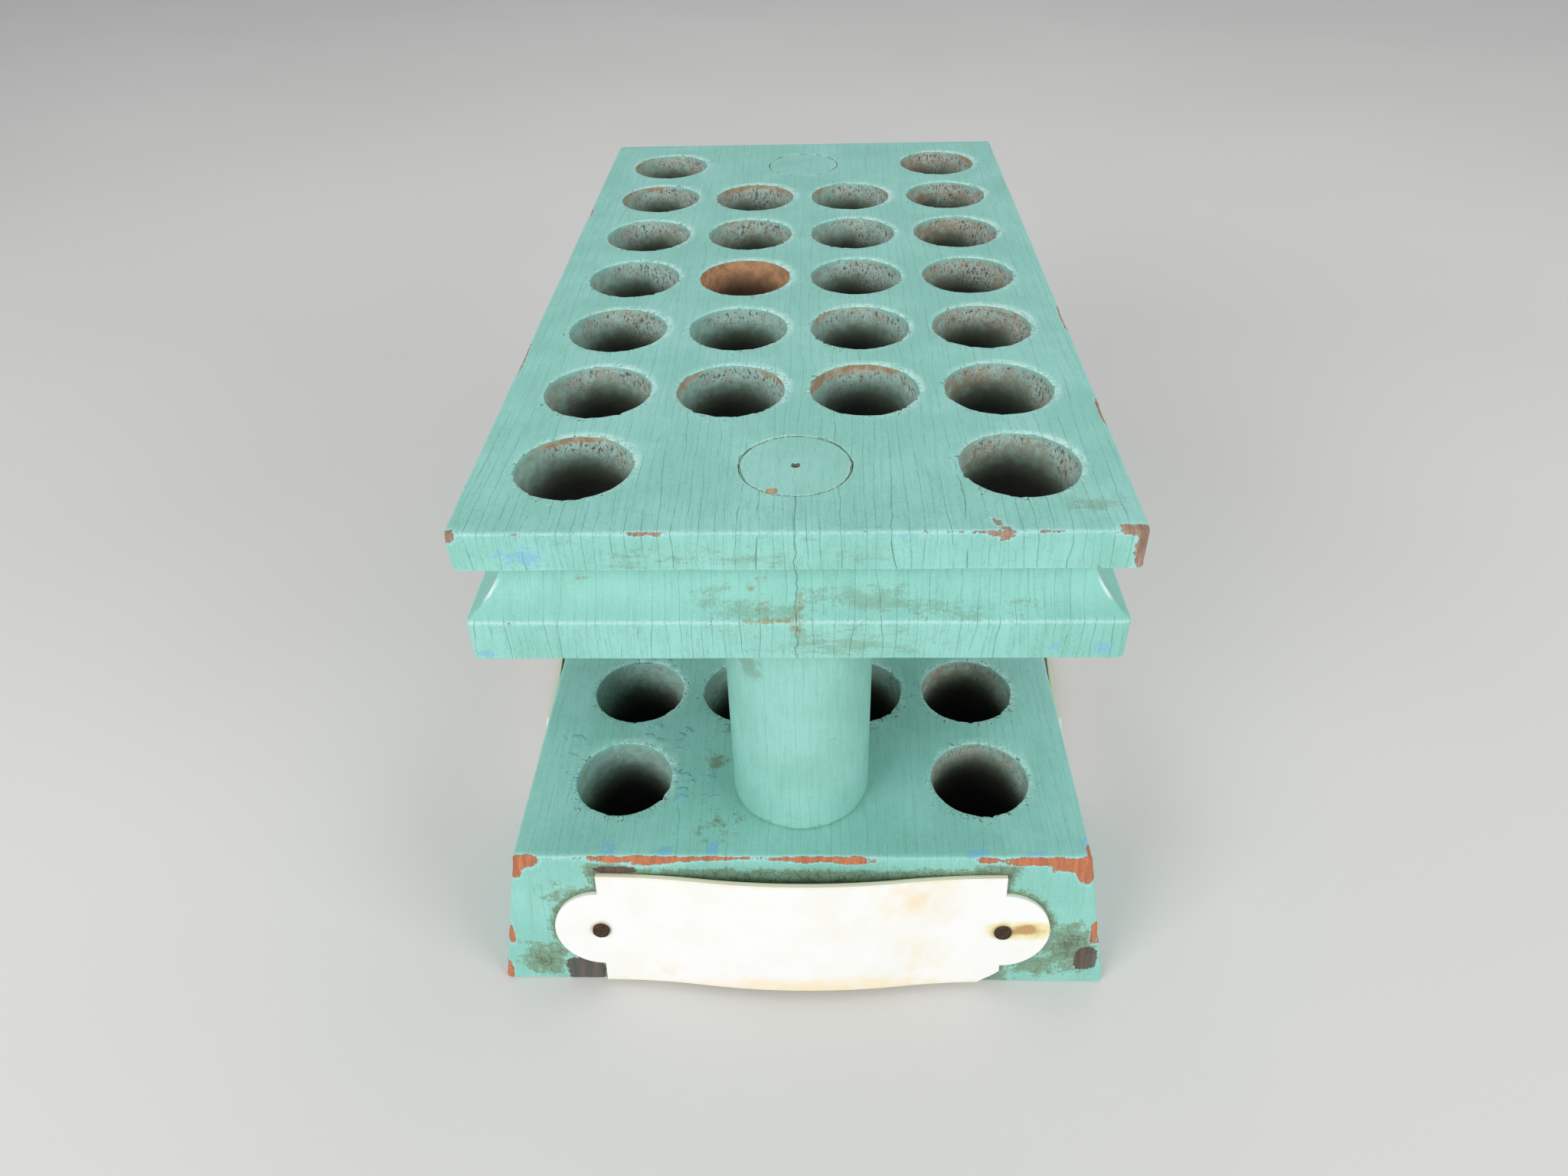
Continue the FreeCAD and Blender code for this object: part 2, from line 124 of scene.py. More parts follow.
def rough(points, size, seed):
    """Two sizes of lumps together."""
    finer = np.asarray(size) / 2.3
    return (lumps(points, size, seed) + 0.5 * lumps(points, finer, seed + 1)) / 1.5


def ramp(value, low, high):
    """0 below low and 1 above high, smoothly."""
    part = np.clip((value - low) / (high - low), 0, 1)
    return part * part * (3 - 2 * part)


# Meshes as patches of points


class Shell:
    """Patches of points, welded where they meet, in millimetres."""

    def __init__(self):
        self.points = []
        self.faces = []
        self.count = 0

    def patch(self, rows, closed=False):
        """Quads between rows of points. closed joins each row's last point to its first."""
        rows = np.asarray(rows, float)
        high, wide = rows.shape[:2]
        ids = self.count + np.arange(high * wide).reshape(high, wide)
        if closed:
            ids = np.concatenate([ids, ids[:, :1]], axis=1)
        quads = np.stack([ids[:-1, :-1], ids[:-1, 1:], ids[1:, 1:], ids[1:, :-1]], axis=-1)
        self.points.append(rows.reshape(-1, 3))
        self.faces.append(quads.reshape(-1, 4))
        self.count += high * wide

    def weld(self):
        """Joins the points that lie together and drops faces without area."""
        points = np.concatenate(self.points)
        faces = np.concatenate(self.faces)
        keys = np.round(points * 2000).astype(np.int64)
        _, first, back = np.unique(keys, axis=0, return_index=True, return_inverse=True)
        faces = back.reshape(-1)[faces]
        self.where = points[first]
        sides = (faces != np.roll(faces, 1, axis=1)).sum(axis=1)
        opposite = (faces[:, 0] == faces[:, 2]) | (faces[:, 1] == faces[:, 3])
        self.quads = faces[(sides == 4) & ~opposite]
        self.triangles = []
        for face in faces[(sides == 3) & ~opposite]:
            kept = [face[k] for k in range(4) if face[k] != face[k - 1]]
            if len(set(kept)) == 3:
                self.triangles.append(kept)

    def normals(self):
        """Unit normals of the welded points, as the faces turn."""
        total = np.zeros_like(self.where)
        corners = self.where[self.quads]
        flat = np.cross(corners[:, 2] - corners[:, 0], corners[:, 3] - corners[:, 1])
        for k in range(4):
            np.add.at(total, self.quads[:, k], flat)
        return total / np.maximum(np.linalg.norm(total, axis=1, keepdims=True), 1e-9)

    def outward(self, top):
        """Turns the faces outward, judged by those at the top, and gives the normals."""
        normal = self.normals()
        if normal[:, 2][self.where[:, 2] > top - 0.01].mean() < 0:
            normal = -normal
            self.quads = self.quads[:, ::-1]
            self.triangles = [face[::-1] for face in self.triangles]
        return normal

    def build(self, name, fields, material, sharp=55):
        """The Blender object, with its fields as point attributes."""
        mesh = bpy.data.meshes.new(name)
        faces = self.quads.tolist() + [list(map(int, face)) for face in self.triangles]
        mesh.from_pydata((self.where * MM).tolist(), [], faces)
        for field, values in fields.items():
            layer = mesh.attributes.new(field, "FLOAT", "POINT")
            layer.data.foreach_set("value", np.asarray(values, np.float32))
        mesh.materials.append(material)
        mesh.shade_smooth()
        mesh.set_sharp_from_angle(angle=math.radians(sharp))
        mesh.update()
        piece = bpy.data.objects.new(name, mesh)
        link(piece)
        return piece


def link(thing):
    bpy.context.scene.collection.objects.link(thing)


def finish_piece(piece, node):
    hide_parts(node)
    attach(piece, "root")


def at_height(flat, z):
    """Flat points with their height."""
    return np.column_stack([flat, np.full(len(flat), z)])


def circle(steps):
    """Points round a circle of radius 1."""
    turns = np.arange(steps) * 2 * math.pi / steps
    return np.stack([np.cos(turns), np.sin(turns)], 1)


def outline(half_x, half_y, across, along):
    """Even points round a rectangle about the origin, anticlockwise from its lower left corner."""
    steps_x = np.linspace(-half_x, half_x, across + 1)[:-1]
    steps_y = np.linspace(-half_y, half_y, along + 1)[:-1]
    sides = [
        np.stack([steps_x, np.full(across, -half_y)], 1),
        np.stack([np.full(along, half_x), steps_y], 1),
        np.stack([-steps_x, np.full(across, half_y)], 1),
        np.stack([np.full(along, -half_x), -steps_y], 1),
    ]
    return np.concatenate(sides)


def ring_at(edge, hole, share, z):
    """A ring of points part of the way from a hole out to an outline."""
    return at_height(hole + (edge - hole) * share, z)


def hole_rows(edge, turns, radius, top, rings, depths):
    """Rows from a cell's outline over the rim and down the wall of its hole."""
    around = np.stack([np.cos(turns), np.sin(turns)], 1)
    rows = [ring_at(edge, around * (radius + RIM_ROUND), share, top) for share in rings]
    for angle in (30, 60, 90):
        out = radius + RIM_ROUND * (1 - math.sin(math.radians(angle)))
        down = RIM_ROUND * (1 - math.cos(math.radians(angle)))
        rows.append(at_height(around * out, top - down))
    rows += [at_height(around * radius, top - depth) for depth in depths]
    return rows, around


def cells():
    """Each cell of the grid: its centre, half size across, samples across and hole radius."""
    for row in range(7):
        for column in range(4):
            y = (row - 3) * ROW
            if row in (0, 6) and column in (1, 2):
                if column == 1:
                    yield (0.0, y), COLUMN, 2 * SAMPLES, SOCKET
                continue
            yield ((column - 1.5) * COLUMN, y), COLUMN / 2, SAMPLES, HOLE


def cell_outline(half_x, across):
    """A cell's outline, and where its points lie round the hole."""
    edge = outline(half_x, ROW / 2, across, SAMPLES)
    if across == SAMPLES:
        return edge, np.arange(4 * SAMPLES) * 2 * math.pi / (4 * SAMPLES) - 0.75 * math.pi
    return edge, np.arctan2(edge[:, 1], edge[:, 0])


def add_through_cells(shell):
    depths = [THICK * share for share in (0.05, 0.1, 0.18, 0.3, 0.46, 0.64, 0.82, 0.95, 0.988)]
    for middle, half_x, across, radius in cells():
        edge, turns = cell_outline(half_x, across)
        rows, around = hole_rows(edge, turns, radius, TOP_Z, OPEN_RINGS, depths)
        for share in (0.0, 0.35, 1.0):
            rows.append(ring_at(edge, around * (radius + RIM_ROUND), share, UNDER_Z))
        shell.patch(np.array(rows) + [*middle, 0], closed=True)


def add_blind_cells(shell):
    for middle, half_x, across, radius in cells():
        edge, turns = cell_outline(half_x, across)
        deep = BLIND if radius == HOLE else BASE_Z - TENON_FOOT + SOCKET_RELIEF
        depths = [deep * share for share in (0.05, 0.12, 0.24, 0.42, 0.68, 1.0)]
        rows, around = hole_rows(edge, turns, radius, BASE_Z, OPEN_RINGS[::2], depths)
        for share in (0.7, 0.3, 0.0):
            rows.append(at_height(around * radius * share, BASE_Z - deep))
        shell.patch(np.array(rows) + [*middle, 0], closed=True)


def perimeter(half_x, half_y, z, zone, radius):
    """One ring round a block, with its corners rounded. zone holds the corner's extra points."""
    shares = np.array([0.25, 0.5, 0.75])
    points = []
    for turn in range(4):
        wide, deep, columns = (half_y, half_x, 7) if turn % 2 else (half_x, half_y, 4)
        steps = columns * SAMPLES
        run = np.linspace(-(wide - zone), wide - zone, steps + 1)
        side = np.stack([run, np.full(steps + 1, -deep)], 1)
        first = np.stack([wide - zone + zone * shares, np.full(3, -deep)], 1)
        last = np.stack([np.full(3, wide), -deep + zone * shares], 1)
        corner = np.concatenate([first, [[wide, -deep]], last])
        local = np.concatenate([side, corner])
        for sign in (-1, 1):
            centre = np.array([sign * (wide - radius), -(deep - radius)])
            away = (local - centre) * [sign, -1]
            inside = (away > 1e-9).all(axis=1)
            reach = np.linalg.norm(away[inside], axis=1, keepdims=True)
            local[inside] = centre + away[inside] / reach * radius * [sign, -1]
        angle = turn * math.pi / 2
        spin = np.array([[math.cos(angle), math.sin(angle)], [-math.sin(angle), math.cos(angle)]])
        points.append(local @ spin)
    return at_height(np.concatenate(points), z)


def arc_rows(start, end, centre, radius, steps):
    """Points (inset, height) along an arc of a profile, both ends included."""
    a = math.atan2(start[1] - centre[1], start[0] - centre[0])
    b = math.atan2(end[1] - centre[1], end[0] - centre[0])
    return [(centre[0] + radius * math.cos(t), centre[1] + radius * math.sin(t))
            for t in np.linspace(a, b, steps)]


def top_profile():
    """(inset, height above the underside) down the top block's edge."""
    rows = [(inset, THICK) for inset in (3.4, 2.4, 1.6, 1.0)]
    rows += arc_rows((0.6, THICK), (0, THICK - 0.6), (0.6, THICK - 0.6), 0.6, 4)
    rows += [(0, z) for z in (23.6, 22.8, 22.0, 21.2, 20.4, 19.6, 18.9)]
    rows += arc_rows((0, COVE_TOP + 0.35), (0.35, COVE_TOP), (0.35, COVE_TOP + 0.35), 0.35, 3)
    rows += [(d, COVE_TOP) for d in (1.3, 2.6, 3.9, 5.2)]
    half = math.hypot(COVE_STEP, COVE_TOP - LIP) / 2
    back = math.sqrt(COVE_RADIUS ** 2 - half ** 2)
    slope = ((COVE_TOP - LIP) / (2 * half), COVE_STEP / (2 * half))
    centre = (COVE_STEP / 2 - back * slope[0], (COVE_TOP + LIP) / 2 + back * slope[1])
    rows += arc_rows((COVE_STEP, COVE_TOP), (0.25, LIP + 0.15), centre, COVE_RADIUS, 13)
    rows += [(0.07, LIP - 0.02), (0, LIP - 0.3)]
    rows += [(0, z) for z in (6.9, 6.1, 5.2, 4.3, 3.4, 2.5, 1.6, 0.9)]
    rows += arc_rows((0, 0.5), (0.5, 0), (0.5, 0.5), 0.5, 4)
    rows += [(1.4, 0), (2.8, 0)]
    return rows


def add_top_edge(shell):
    inner = perimeter(*GRID_HALF, TOP_Z, 0.0, 0.0)
    rows = [inner]
    for inset, height in top_profile():
        half_x, half_y = TOP_HALF[0] - inset, TOP_HALF[1] - inset
        radius = CORNER_ROUND * min(max(1 - inset / 2.0, 0.08), 1.0)
        rows.append(perimeter(half_x, half_y, UNDER_Z + height, 1.5, radius))
    rows.append(inner - [0, 0, THICK])
    shell.patch(rows[::-1], closed=True)


def base_profile():
    """(inset from the top's edge, height) down the base's sloping side."""
    run = math.tan(LEAN)
    rows = [(inset, BASE_Z) for inset in (5.0, 3.6, 2.5, 1.6, 1.0)]
    rows += [(0.45, BASE_Z - 0.06), (0.12, BASE_Z - 0.3), (-0.08, BASE_Z - 0.75)]
    drops = (1.4, 2.1, 2.8, 3.6, 4.5, 5.5, 6.6, 7.8, 9.2, 10.8, 12.6, 14.6, 16.8, 19.0, 21.2,
             23.2, 25.0, 26.6, 28.0, 29.2, 30.2, 30.9)
    rows += [(-drop * run, BASE_Z - drop) for drop in drops]
    rows += [(-30.95 * run + 0.1, 0.1), (-30.9 * run + 0.5, 0.0), (-2.0, 0.0), (2.0, 0.0)]
    return rows


def add_base_edge(shell):
    inner = perimeter(*GRID_HALF, BASE_Z, 0.0, 0.0)
    rows = [inner]
    for inset, height in base_profile():
        rows.append(perimeter(BASE_HALF[0] - inset, BASE_HALF[1] - inset, height, 1.6, 1.0))
    rows += [inner * [share, share, 0] for share in (0.9, 0.5, 0.0)]
    shell.patch(rows[::-1], closed=True)


def nearest_hole(points):
    """The centre of the hole nearest to each point."""
    middle = np.zeros((len(points), 2))
    best = np.full(len(points), 1e9)
    for (x, y), _, _, radius in cells():
        if radius == HOLE:
            away = np.hypot(points[:, 0] - x, points[:, 1] - y)
            closer = away < best
            best = np.where(closer, away, best)
            middle[closer] = (x, y)
    return middle


def from_holes(points):
    """Distance outside the nearest hole's wall."""
    away = points[:, :2] - nearest_hole(points)
    return np.hypot(away[:, 0], away[:, 1]) - HOLE


def crack_places(where, normal, wall):
    """Where a point lies across the grain, and round its nearest hole, in millimetres."""
    away = where[:, :2] - nearest_hole(where)
    girth = np.arctan2(away[:, 1], away[:, 0]) * HOLE
    on_side = (np.abs(normal[:, 0]) > 0.75) & (wall == 0)
    across = np.where(on_side, where[:, 2], where[:, 0])
    return np.where(wall > 0, girth, across), girth


def facing(turn, degrees):
    """1 on the wall that lies in a direction from the hole's middle and 0 opposite."""
    return 0.5 + 0.5 * np.cos(turn - math.radians(degrees))


def far_share(girth):
    """How fast the painted shade on a wall deepens with depth: slower at a hole's left and right.
    """
    return 0.6 + 0.45 * np.sin(girth / HOLE) ** 2


def hole_wear(where, girth, rim, deep, wall, stripped):
    """Fields of the holes: bare bands under the rims, loose fibres, pale rims and brown walls.

    stripped is the middle of the hole that has lost all its paint.
    """
    turn = girth / HOLE
    middle = nearest_hole(where)
    flat = middle * 3 + 2.2 * np.column_stack([np.cos(turn), np.sin(turn)])
    place = np.column_stack([flat, np.zeros(len(where))])
    vary = lumps(place, 1.7, 41)
    band = 0.9 * facing(turn, 125) + 1.5 * vary + 0.5 * ramp(where[:, 1], 0, 80) - 0.45
    for place_of, extra, toward in BANDED:
        near = np.abs(middle - place_of).max(axis=1) < 1
        band += near * extra * ramp(facing(turn, toward), 0.35, 0.8)
    bare = np.where(wall > 0, np.clip((band - deep) / 1.2, NONE, 0.36), NONE)
    if stripped is not None:
        near = (np.abs(middle - stripped).max(axis=1) < 1) & (wall > 0)
        bare = np.where(near, 0.9, bare)
    back = facing(turn, 55)
    reach = (1.5 + 5.0 * back) * (0.8 + 0.35 * lumps(place, 1.1, 43))
    fuzz = wall * ramp(reach - deep, 0, 2.5) * ramp(back, 0.3, 0.8)
    spread = 1.1 + 0.8 * facing(turn, 35) + 0.45 * vary
    halo = (1 - wall) * ramp(spread - rim, 0, 1.2) * (0.3 + 0.7 * facing(turn, 35) ** 1.5)
    side = ramp(middle[:, 0], 20, 30) + ramp(where[:, 1], -20, 70)
    brown = wall * np.clip(0.15 + 0.45 * side + 0.3 * lumps(place, 5.0, 47), 0, 1)
    fray = 0.9 * facing(turn, -90) + 0.5 * lumps(place, 0.9, 53)
    return {"bare": bare, "fuzz": fuzz, "halo": halo, "brown": brown, "fray": fray}


def field_of(points, spots):
    """The highest of several soft spots, 1 at a spot's middle and 0 at its edge.

    A spot is its centre, its half sizes and its strength, in millimetres.
    """
    best = np.full(len(points), NONE)
    for centre, size, strength in spots:
        away = (np.abs((points - centre) / size) ** 3).sum(axis=1) ** (1 / 3)
        best = np.maximum(best, strength * (1 - away))
    return best


# Worn places, listed after the photograph: centre, half sizes, strength
TOP_SPOTS = {
    "bare": [
        ((-51.8, -95, 104.5), (1.8, 1.7, 1.5), 0.8), ((52, -95, 101.4), (2.4, 2.8, 4.4), 1),
        ((50.6, -94.6, 104.9), (3.8, 1.7, 1.2), 0.9), ((25, -95, 104.9), (8, 0.5, 0.5), 0.4),
        ((30.6, -95, 104.6), (2.8, 0.6, 0.7), 0.45), ((31, -95, 103.9), (1, 0.6, 0.9), 0.5),
        ((28.9, -91.6, 104.9), (1, 0.8, 0.6), 0.4), ((30, -92.7, 104.9), (1, 0.8, 0.6), 0.4),
        ((31, -93.9, 104.9), (1.2, 0.8, 0.6), 0.42), ((37.6, -95, 104.9), (2.4, 0.6, 0.5), 0.5),
        ((-22, -95, 104.8), (3.6, 0.6, 0.6), 0.5), ((52, -60, 104.9), (1, 5, 1), 0.8),
        ((52, -22, 104.9), (0.9, 7, 1), 0.7), ((-52, -38, 104.9), (0.9, 8, 1), 0.7),
        ((-52, 40, 104.9), (0.9, 4, 0.9), 0.6),
    ],
    "smear": [
        ((11.85, 12.7, 104.9), (6, 3, 1), 0.8), ((12.5, -12.7, 104.9), (4, 4, 1), 0.8),
        ((46.5, 66, 104.9), (4.5, 14, 1), 0.9), ((47.5, 28, 104.9), (3, 10, 1), 0.6),
        ((0, 38, 104.9), (3, 5, 1), 0.6), ((-25, -80, 104.9), (3, 3, 1), 0.7),
        ((-31, -88, 104.9), (1.6, 5, 1), 0.9), ((-45, 50, 104.9), (3, 9, 1), 0.6),
        ((-38, -95, 102), (9, 1.6, 2.6), 0.7), ((18, -95, 103.8), (16, 1.2, 1.4), 0.8),
    ],
    "blue": [
        ((-40.5, -95, 100.4), (6, 1.5, 2.6), 1), ((-49, -95, 81.6), (4, 1.5, 1.6), 0.9),
        ((40.6, -95, 82.8), (1.8, 1.5, 1.4), 0.9), ((48.4, -95, 82.2), (3, 1.5, 1.6), 1),
        ((16, -95, 104.2), (5, 1, 1), 0.7), ((44, 70, 104.9), (5, 9, 1), 0.5),
    ],
    "grime": [
        ((-6, -92, 88.5), (9, 6, 2.2), 0.45), ((-12.5, -90, 91.5), (2.6, 6, 1.2), 0.6),
        ((11, -92, 90.3), (12, 6, 1.7), 0.75), ((24, -92, 89.2), (11, 6, 1.2), 0.45),
        ((-9, -95, 100), (16, 1.5, 2.2), 0.3), ((-24, -95, 99.6), (5, 1.5, 2.2), 0.4),
        ((9, -95, 83.6), (13, 1.5, 3), 0.5), ((45.5, -87.3, 104.9), (5, 2.4, 1), 0.6),
        ((0.6, -94, 85.5), (1.2, 6, 5.5), 0.8),
    ],
    "rust": [
        ((-7, -91.5, 91.6), (1, 2.5, 0.9), 1), ((-5.6, -91, 92.7), (1.7, 2.5, 0.6), 0.7),
        ((-5, -93.3, 89.6), (2.6, 2, 0.7), 0.5), ((-3.5, -94.9, 87.9), (6.5, 1.2, 0.6), 0.6),
        ((0.7, -93.6, 89.6), (1.2, 3, 2.2), 0.6), ((-0.4, -95, 86.4), (1.6, 1.2, 1.2), 0.6),
        ((-34, -90.5, 92.8), (2, 2.5, 0.6), 0.5),
    ],
}
BASE_SPOTS = {
    "bare": [
        ((-52.5, -96.3, 30.2), (3.2, 1.4, 1.9), 1), ((-54.5, -96, 28.5), (2.2, 2, 2.4), 1),
        ((-28, -96.1, 31.1), (17.5, 0.8, 0.6), 0.6), ((-34.5, -96.2, 30.8), (5.5, 0.9, 0.9), 0.7),
        ((-28.5, -96.2, 30.6), (4.5, 0.9, 1.3), 0.8), ((-24, -96.2, 30.8), (4.5, 0.9, 0.9), 0.7),
        ((-14, -96.2, 31.2), (8.5, 0.8, 0.5), 0.55), ((3.5, -96.1, 31.1), (11, 0.8, 0.6), 0.6),
        ((1.5, -96.2, 30.8), (4, 0.9, 0.8), 0.7), ((9.5, -96.2, 30.7), (4, 0.9, 1), 0.7),
        ((35.6, -96.2, 30.9), (3, 0.9, 0.8), 0.7), ((44.5, -96.2, 30.7), (8.5, 1.1, 1.1), 0.9),
        ((50, -96.4, 30), (4, 1.3, 2), 0.9), ((53.6, -96.6, 29), (2.4, 1.8, 4), 1.2),
        ((54.6, -96, 31.5), (1.4, 4.5, 1.6), 1), ((57, -100.4, 12), (1.5, 2.4, 2.2), 1),
        ((-59, -101, 2.5), (1.5, 2, 3), 0.9), ((-57, -99.4, 12), (1, 1.4, 3), 0.8),
        ((56.6, -99, 14), (1, 1.4, 2.4), 0.9),
    ],
    "blue": [
        ((-36.2, -94.2, 31.5), (2.1, 2.4, 0.9), 1.5), ((-25.4, -94.5, 31.5), (2, 2, 0.9), 1.5),
        ((-16.4, -94, 31.5), (1.5, 3, 0.9), 1.5), ((32.5, -94.8, 31.5), (3.6, 1.8, 0.9), 1.1),
        ((44, -95, 31.5), (5, 1.4, 0.9), 1.1), ((53.6, -93, 31.5), (1.2, 3.8, 0.9), 1.1),
        ((-44, -77, 31.5), (4, 5.5, 1), 0.55),
    ],
    "dark": [
        ((-43, -100.9, 2.8), (4.6, 1.8, 4), 1.1), ((55.6, -100.4, 6.4), (2.6, 2.6, 3.4), 1.2),
        ((-35, -96.8, 28.4), (5, 1.6, 1), 0.9),
    ],
    "blister": [
        ((-27, -64.5, 31.5), (9, 5, 1), 1.2), ((-33, -43, 31.5), (8, 6, 1), 1),
        ((-22, -78, 31.5), (9, 9, 1), 0.7), ((-47, -66, 31.5), (5, 9, 1), 0.6),
        ((25, -50, 31.5), (6, 8, 1), 0.5),
    ],
    "grime": [
        ((-50.5, -100.6, 5.6), (5.5, 2.5, 5.4), 1.3), ((52, -99.6, 9), (6.5, 2.5, 7.5), 1.5),
        ((46, -100.8, 5), (8, 2.5, 4), 0.9), ((-46, -98.5, 22), (4, 2.5, 4), 0.8),
        ((0, -62.4, 31.5), (16, 2, 1), 0.7), ((-17, -72, 31.5), (2.5, 3.5, 1), 0.8),
        ((-16, -88, 31.5), (4, 4, 1), 0.5),
    ],
}

# Holes with a wide bare band under the rim: middle, extra width, direction
BANDED = [
    ((COLUMN / 2, -2 * ROW), 2.2, 130),
    ((-1.5 * COLUMN, -3 * ROW), 1.2, 140),
    ((1.5 * COLUMN, -3 * ROW), 1.4, 150),
    ((-COLUMN / 2, -2 * ROW), 0.6, 140),
]
STRIPPED = (-COLUMN / 2, 0.0)

# Spots on the plates, along, up and out from a plate's middle
PLATE_SPOTS = {
    "stain": [((42.6, 0.4, 0), (6.4, 2.5, 1), 1), ((37.2, 0.6, 0), (2.4, 1.8, 1), 0.55)],
    "cream": [((4, -13.5, 0), (34, 5, 1), 1), ((22, 9, 0), (11, 8, 1), 0.7),
              ((24, -6, 0), (9, 8, 1), 0.5), ((-26, -10, 0), (8, 4, 1), 0.4)],
}
SIDE_SPOTS = {
    "stain": [((-57, -1, 0), (3, 3.4, 1), 0.8)],
    "cream": [((-20, -13.5, 0), (30, 5, 1), 0.9), ((30, 8, 0), (14, 7, 1), 0.6)],
}


def wear_block(shell, normal, bare, arris, rim, seed):
    """Sinks chips, torn rims and worn arrises into a block's mesh."""
    where = shell.where
    chip = ramp(bare + 0.22 * lumps(where, 1.6, seed), 0.12, 0.3)
    worn = ramp(1.2 - arris, 0, 1.2) * (0.5 + 0.5 * lumps(where, 3.5, seed + 3))
    dips = ramp(rough(where, 2.4, seed + 5), 0.35, 0.8) * ramp(1.3 - arris, 0, 1.3)
    sink = 0.16 * chip + 0.07 * worn + 0.16 * dips
    sink += 0.035 * (1 + rough(where, (9.0, 16.0, 9.0), seed + 7))
    near = ramp(1.0 - np.abs(rim), 0, 1.0)
    sink += 0.10 * near * (1 + rough(where, 1.3, seed + 9))
    shell.where = where - normal * sink[:, None]


def tear_rims(shell, heights, rim, seed):
    """Pulls the edge of each hole out and back in, as a coarse bit leaves it."""
    where = shell.where
    spike = 1.5 * ramp(rough(where, 0.85, seed), 0.15, 0.8) - 0.3
    out = where[:, :2] - nearest_hole(where)
    out /= np.maximum(np.linalg.norm(out, axis=1), 1e-6)[:, None]
    for height in heights:
        near = ramp(1.1 - np.hypot(where[:, 2] - height, np.maximum(rim, 0)), 0, 1.1)
        shell.where[:, :2] += out * (0.42 * near * spike)[:, None]


def arris_of_top(where):
    """Distance from the top block's outer arrises and mitres."""
    height = where[:, 2] - UNDER_Z
    inset = np.array(TOP_HALF) - np.abs(where[:, :2])
    least = inset.min(axis=1)
    lines = [np.hypot(least, height - z) for z in (0.0, LIP, COVE_TOP, THICK)]
    lines.append(np.hypot(inset[:, 0], inset[:, 1]))
    in_cove = (height > LIP) & (height < COVE_TOP - 0.1) & (least < 7)
    mitre = np.abs(inset[:, 0] - inset[:, 1]) / math.sqrt(2)
    lines.append(np.where(in_cove, mitre + 0.6, FAR))
    return np.minimum(np.min(lines, axis=0), FAR)


def arris_of_base(where):
    """Distance from the base's outer arrises."""
    flare = (BASE_Z - where[:, 2]) * math.tan(LEAN)
    inset = np.array(BASE_HALF) + flare[:, None] - np.abs(where[:, :2])
    least = inset.min(axis=1)
    lines = [np.hypot(least, where[:, 2] - z) for z in (0.0, BASE_Z)]
    lines.append(np.hypot(inset[:, 0], inset[:, 1]))
    return np.minimum(np.min(lines, axis=0), FAR)


def painted_mitre_highlight(where):
    """A painted highlight on the middle of each mitre in the cove."""
    height = where[:, 2] - UNDER_Z
    inset = np.array(TOP_HALF) - np.abs(where[:, :2])
    mitre = np.abs(inset[:, 0] - inset[:, 1]) / math.sqrt(2)
    middle = ramp(1.4 - np.abs(height - 11.3), 0, 0.7)
    return ramp(0.5 - mitre, 0, 0.35) * middle * (inset.max(axis=1) < 7)


def craze_of_top(where, inner):
    """How strongly the cracks show: most on the slab and lip in front, least in the cove."""
    height = where[:, 2] - UNDER_Z
    ahead = where[:, 1] < -TOP_HALF[1] + 8
    strength = np.where(ahead, 0.95, 0.45 + 0.35 * ramp(-where[:, 1], 50, 85))
    in_cove = (height > LIP + 0.6) & (height < COVE_TOP + 0.1)
    strength = np.where(in_cove, 0.35 + 0.3 * ramp(where[:, 0], -15, 15), strength)
    clear = np.minimum(TOP_HALF[0] - np.abs(where[:, 0]), FAR)
    clear = np.where(in_cove, clear - COVE_STEP, clear)
    return strength * (1 - inner) * ramp(clear, 0.3, 1.5)


def block_fields(where, normal, top, spots, rim, wall, lit=1.0, less_bare=0.0, stripped=None):
    """The fields that both blocks have. lit slows the painted shade down the holes' walls."""
    across, girth = crack_places(where, normal, wall)
    # deep is the depth down a wall, scaled for the painted shade in the holes
    deep = np.clip(top - where[:, 2], 0, 40) * wall * lit * far_share(girth)
    rim = np.clip(rim, 0, FAR)
    fields = {key: field_of(where, places) for key, places in spots.items()}
    bare = fields["bare"]
    fields.update(hole_wear(where, girth, rim, deep, wall, stripped))
    fields["bare"] = np.maximum(bare, fields["bare"] - less_bare)
    fields.update({"rim": rim, "wall": wall, "deep": deep, "across": across, "girth": girth})
    return fields, bare


def make_top(material):
    shell = Shell()
    add_through_cells(shell)
    add_top_edge(shell)
    shell.weld()
    where = shell.where.copy()
    normal = shell.outward(TOP_Z)
    height = where[:, 2]
    rim = from_holes(where)
    wall = (np.abs(rim) < 0.02).astype(float)
    on_faces = (height > TOP_Z - 0.5) | (height < UNDER_Z + 0.5) | (wall > 0)
    rim = np.where(on_faces, rim, FAR)
    arris = arris_of_top(where)
    fields, bare = block_fields(where, normal, TOP_Z, TOP_SPOTS, rim, wall, stripped=STRIPPED)
    seam = np.hypot(where[:, 0], np.abs(where[:, 1]) - POST_Y) - TENON
    fields.update({
        "arris": arris,
        "dark": np.full(len(where), NONE),
        "split": ramp(3.0 - np.abs(where[:, 0]), 0, 2) * (where[:, 1] < -85.2),
        "craze": craze_of_top(where, wall),
        "seam": np.where(height > TOP_Z - 0.5, SEAM_ZERO + seam, 0.0),
        "smear": ramp(fields["smear"], 0, 1),
        "painted_highlight": painted_mitre_highlight(where),
    })
    wear_block(shell, normal, bare, arris, rim, seed=11)
    tear_rims(shell, (TOP_Z, UNDER_Z), rim, seed=31)
    return shell.build("top_block_wood", fields, material)


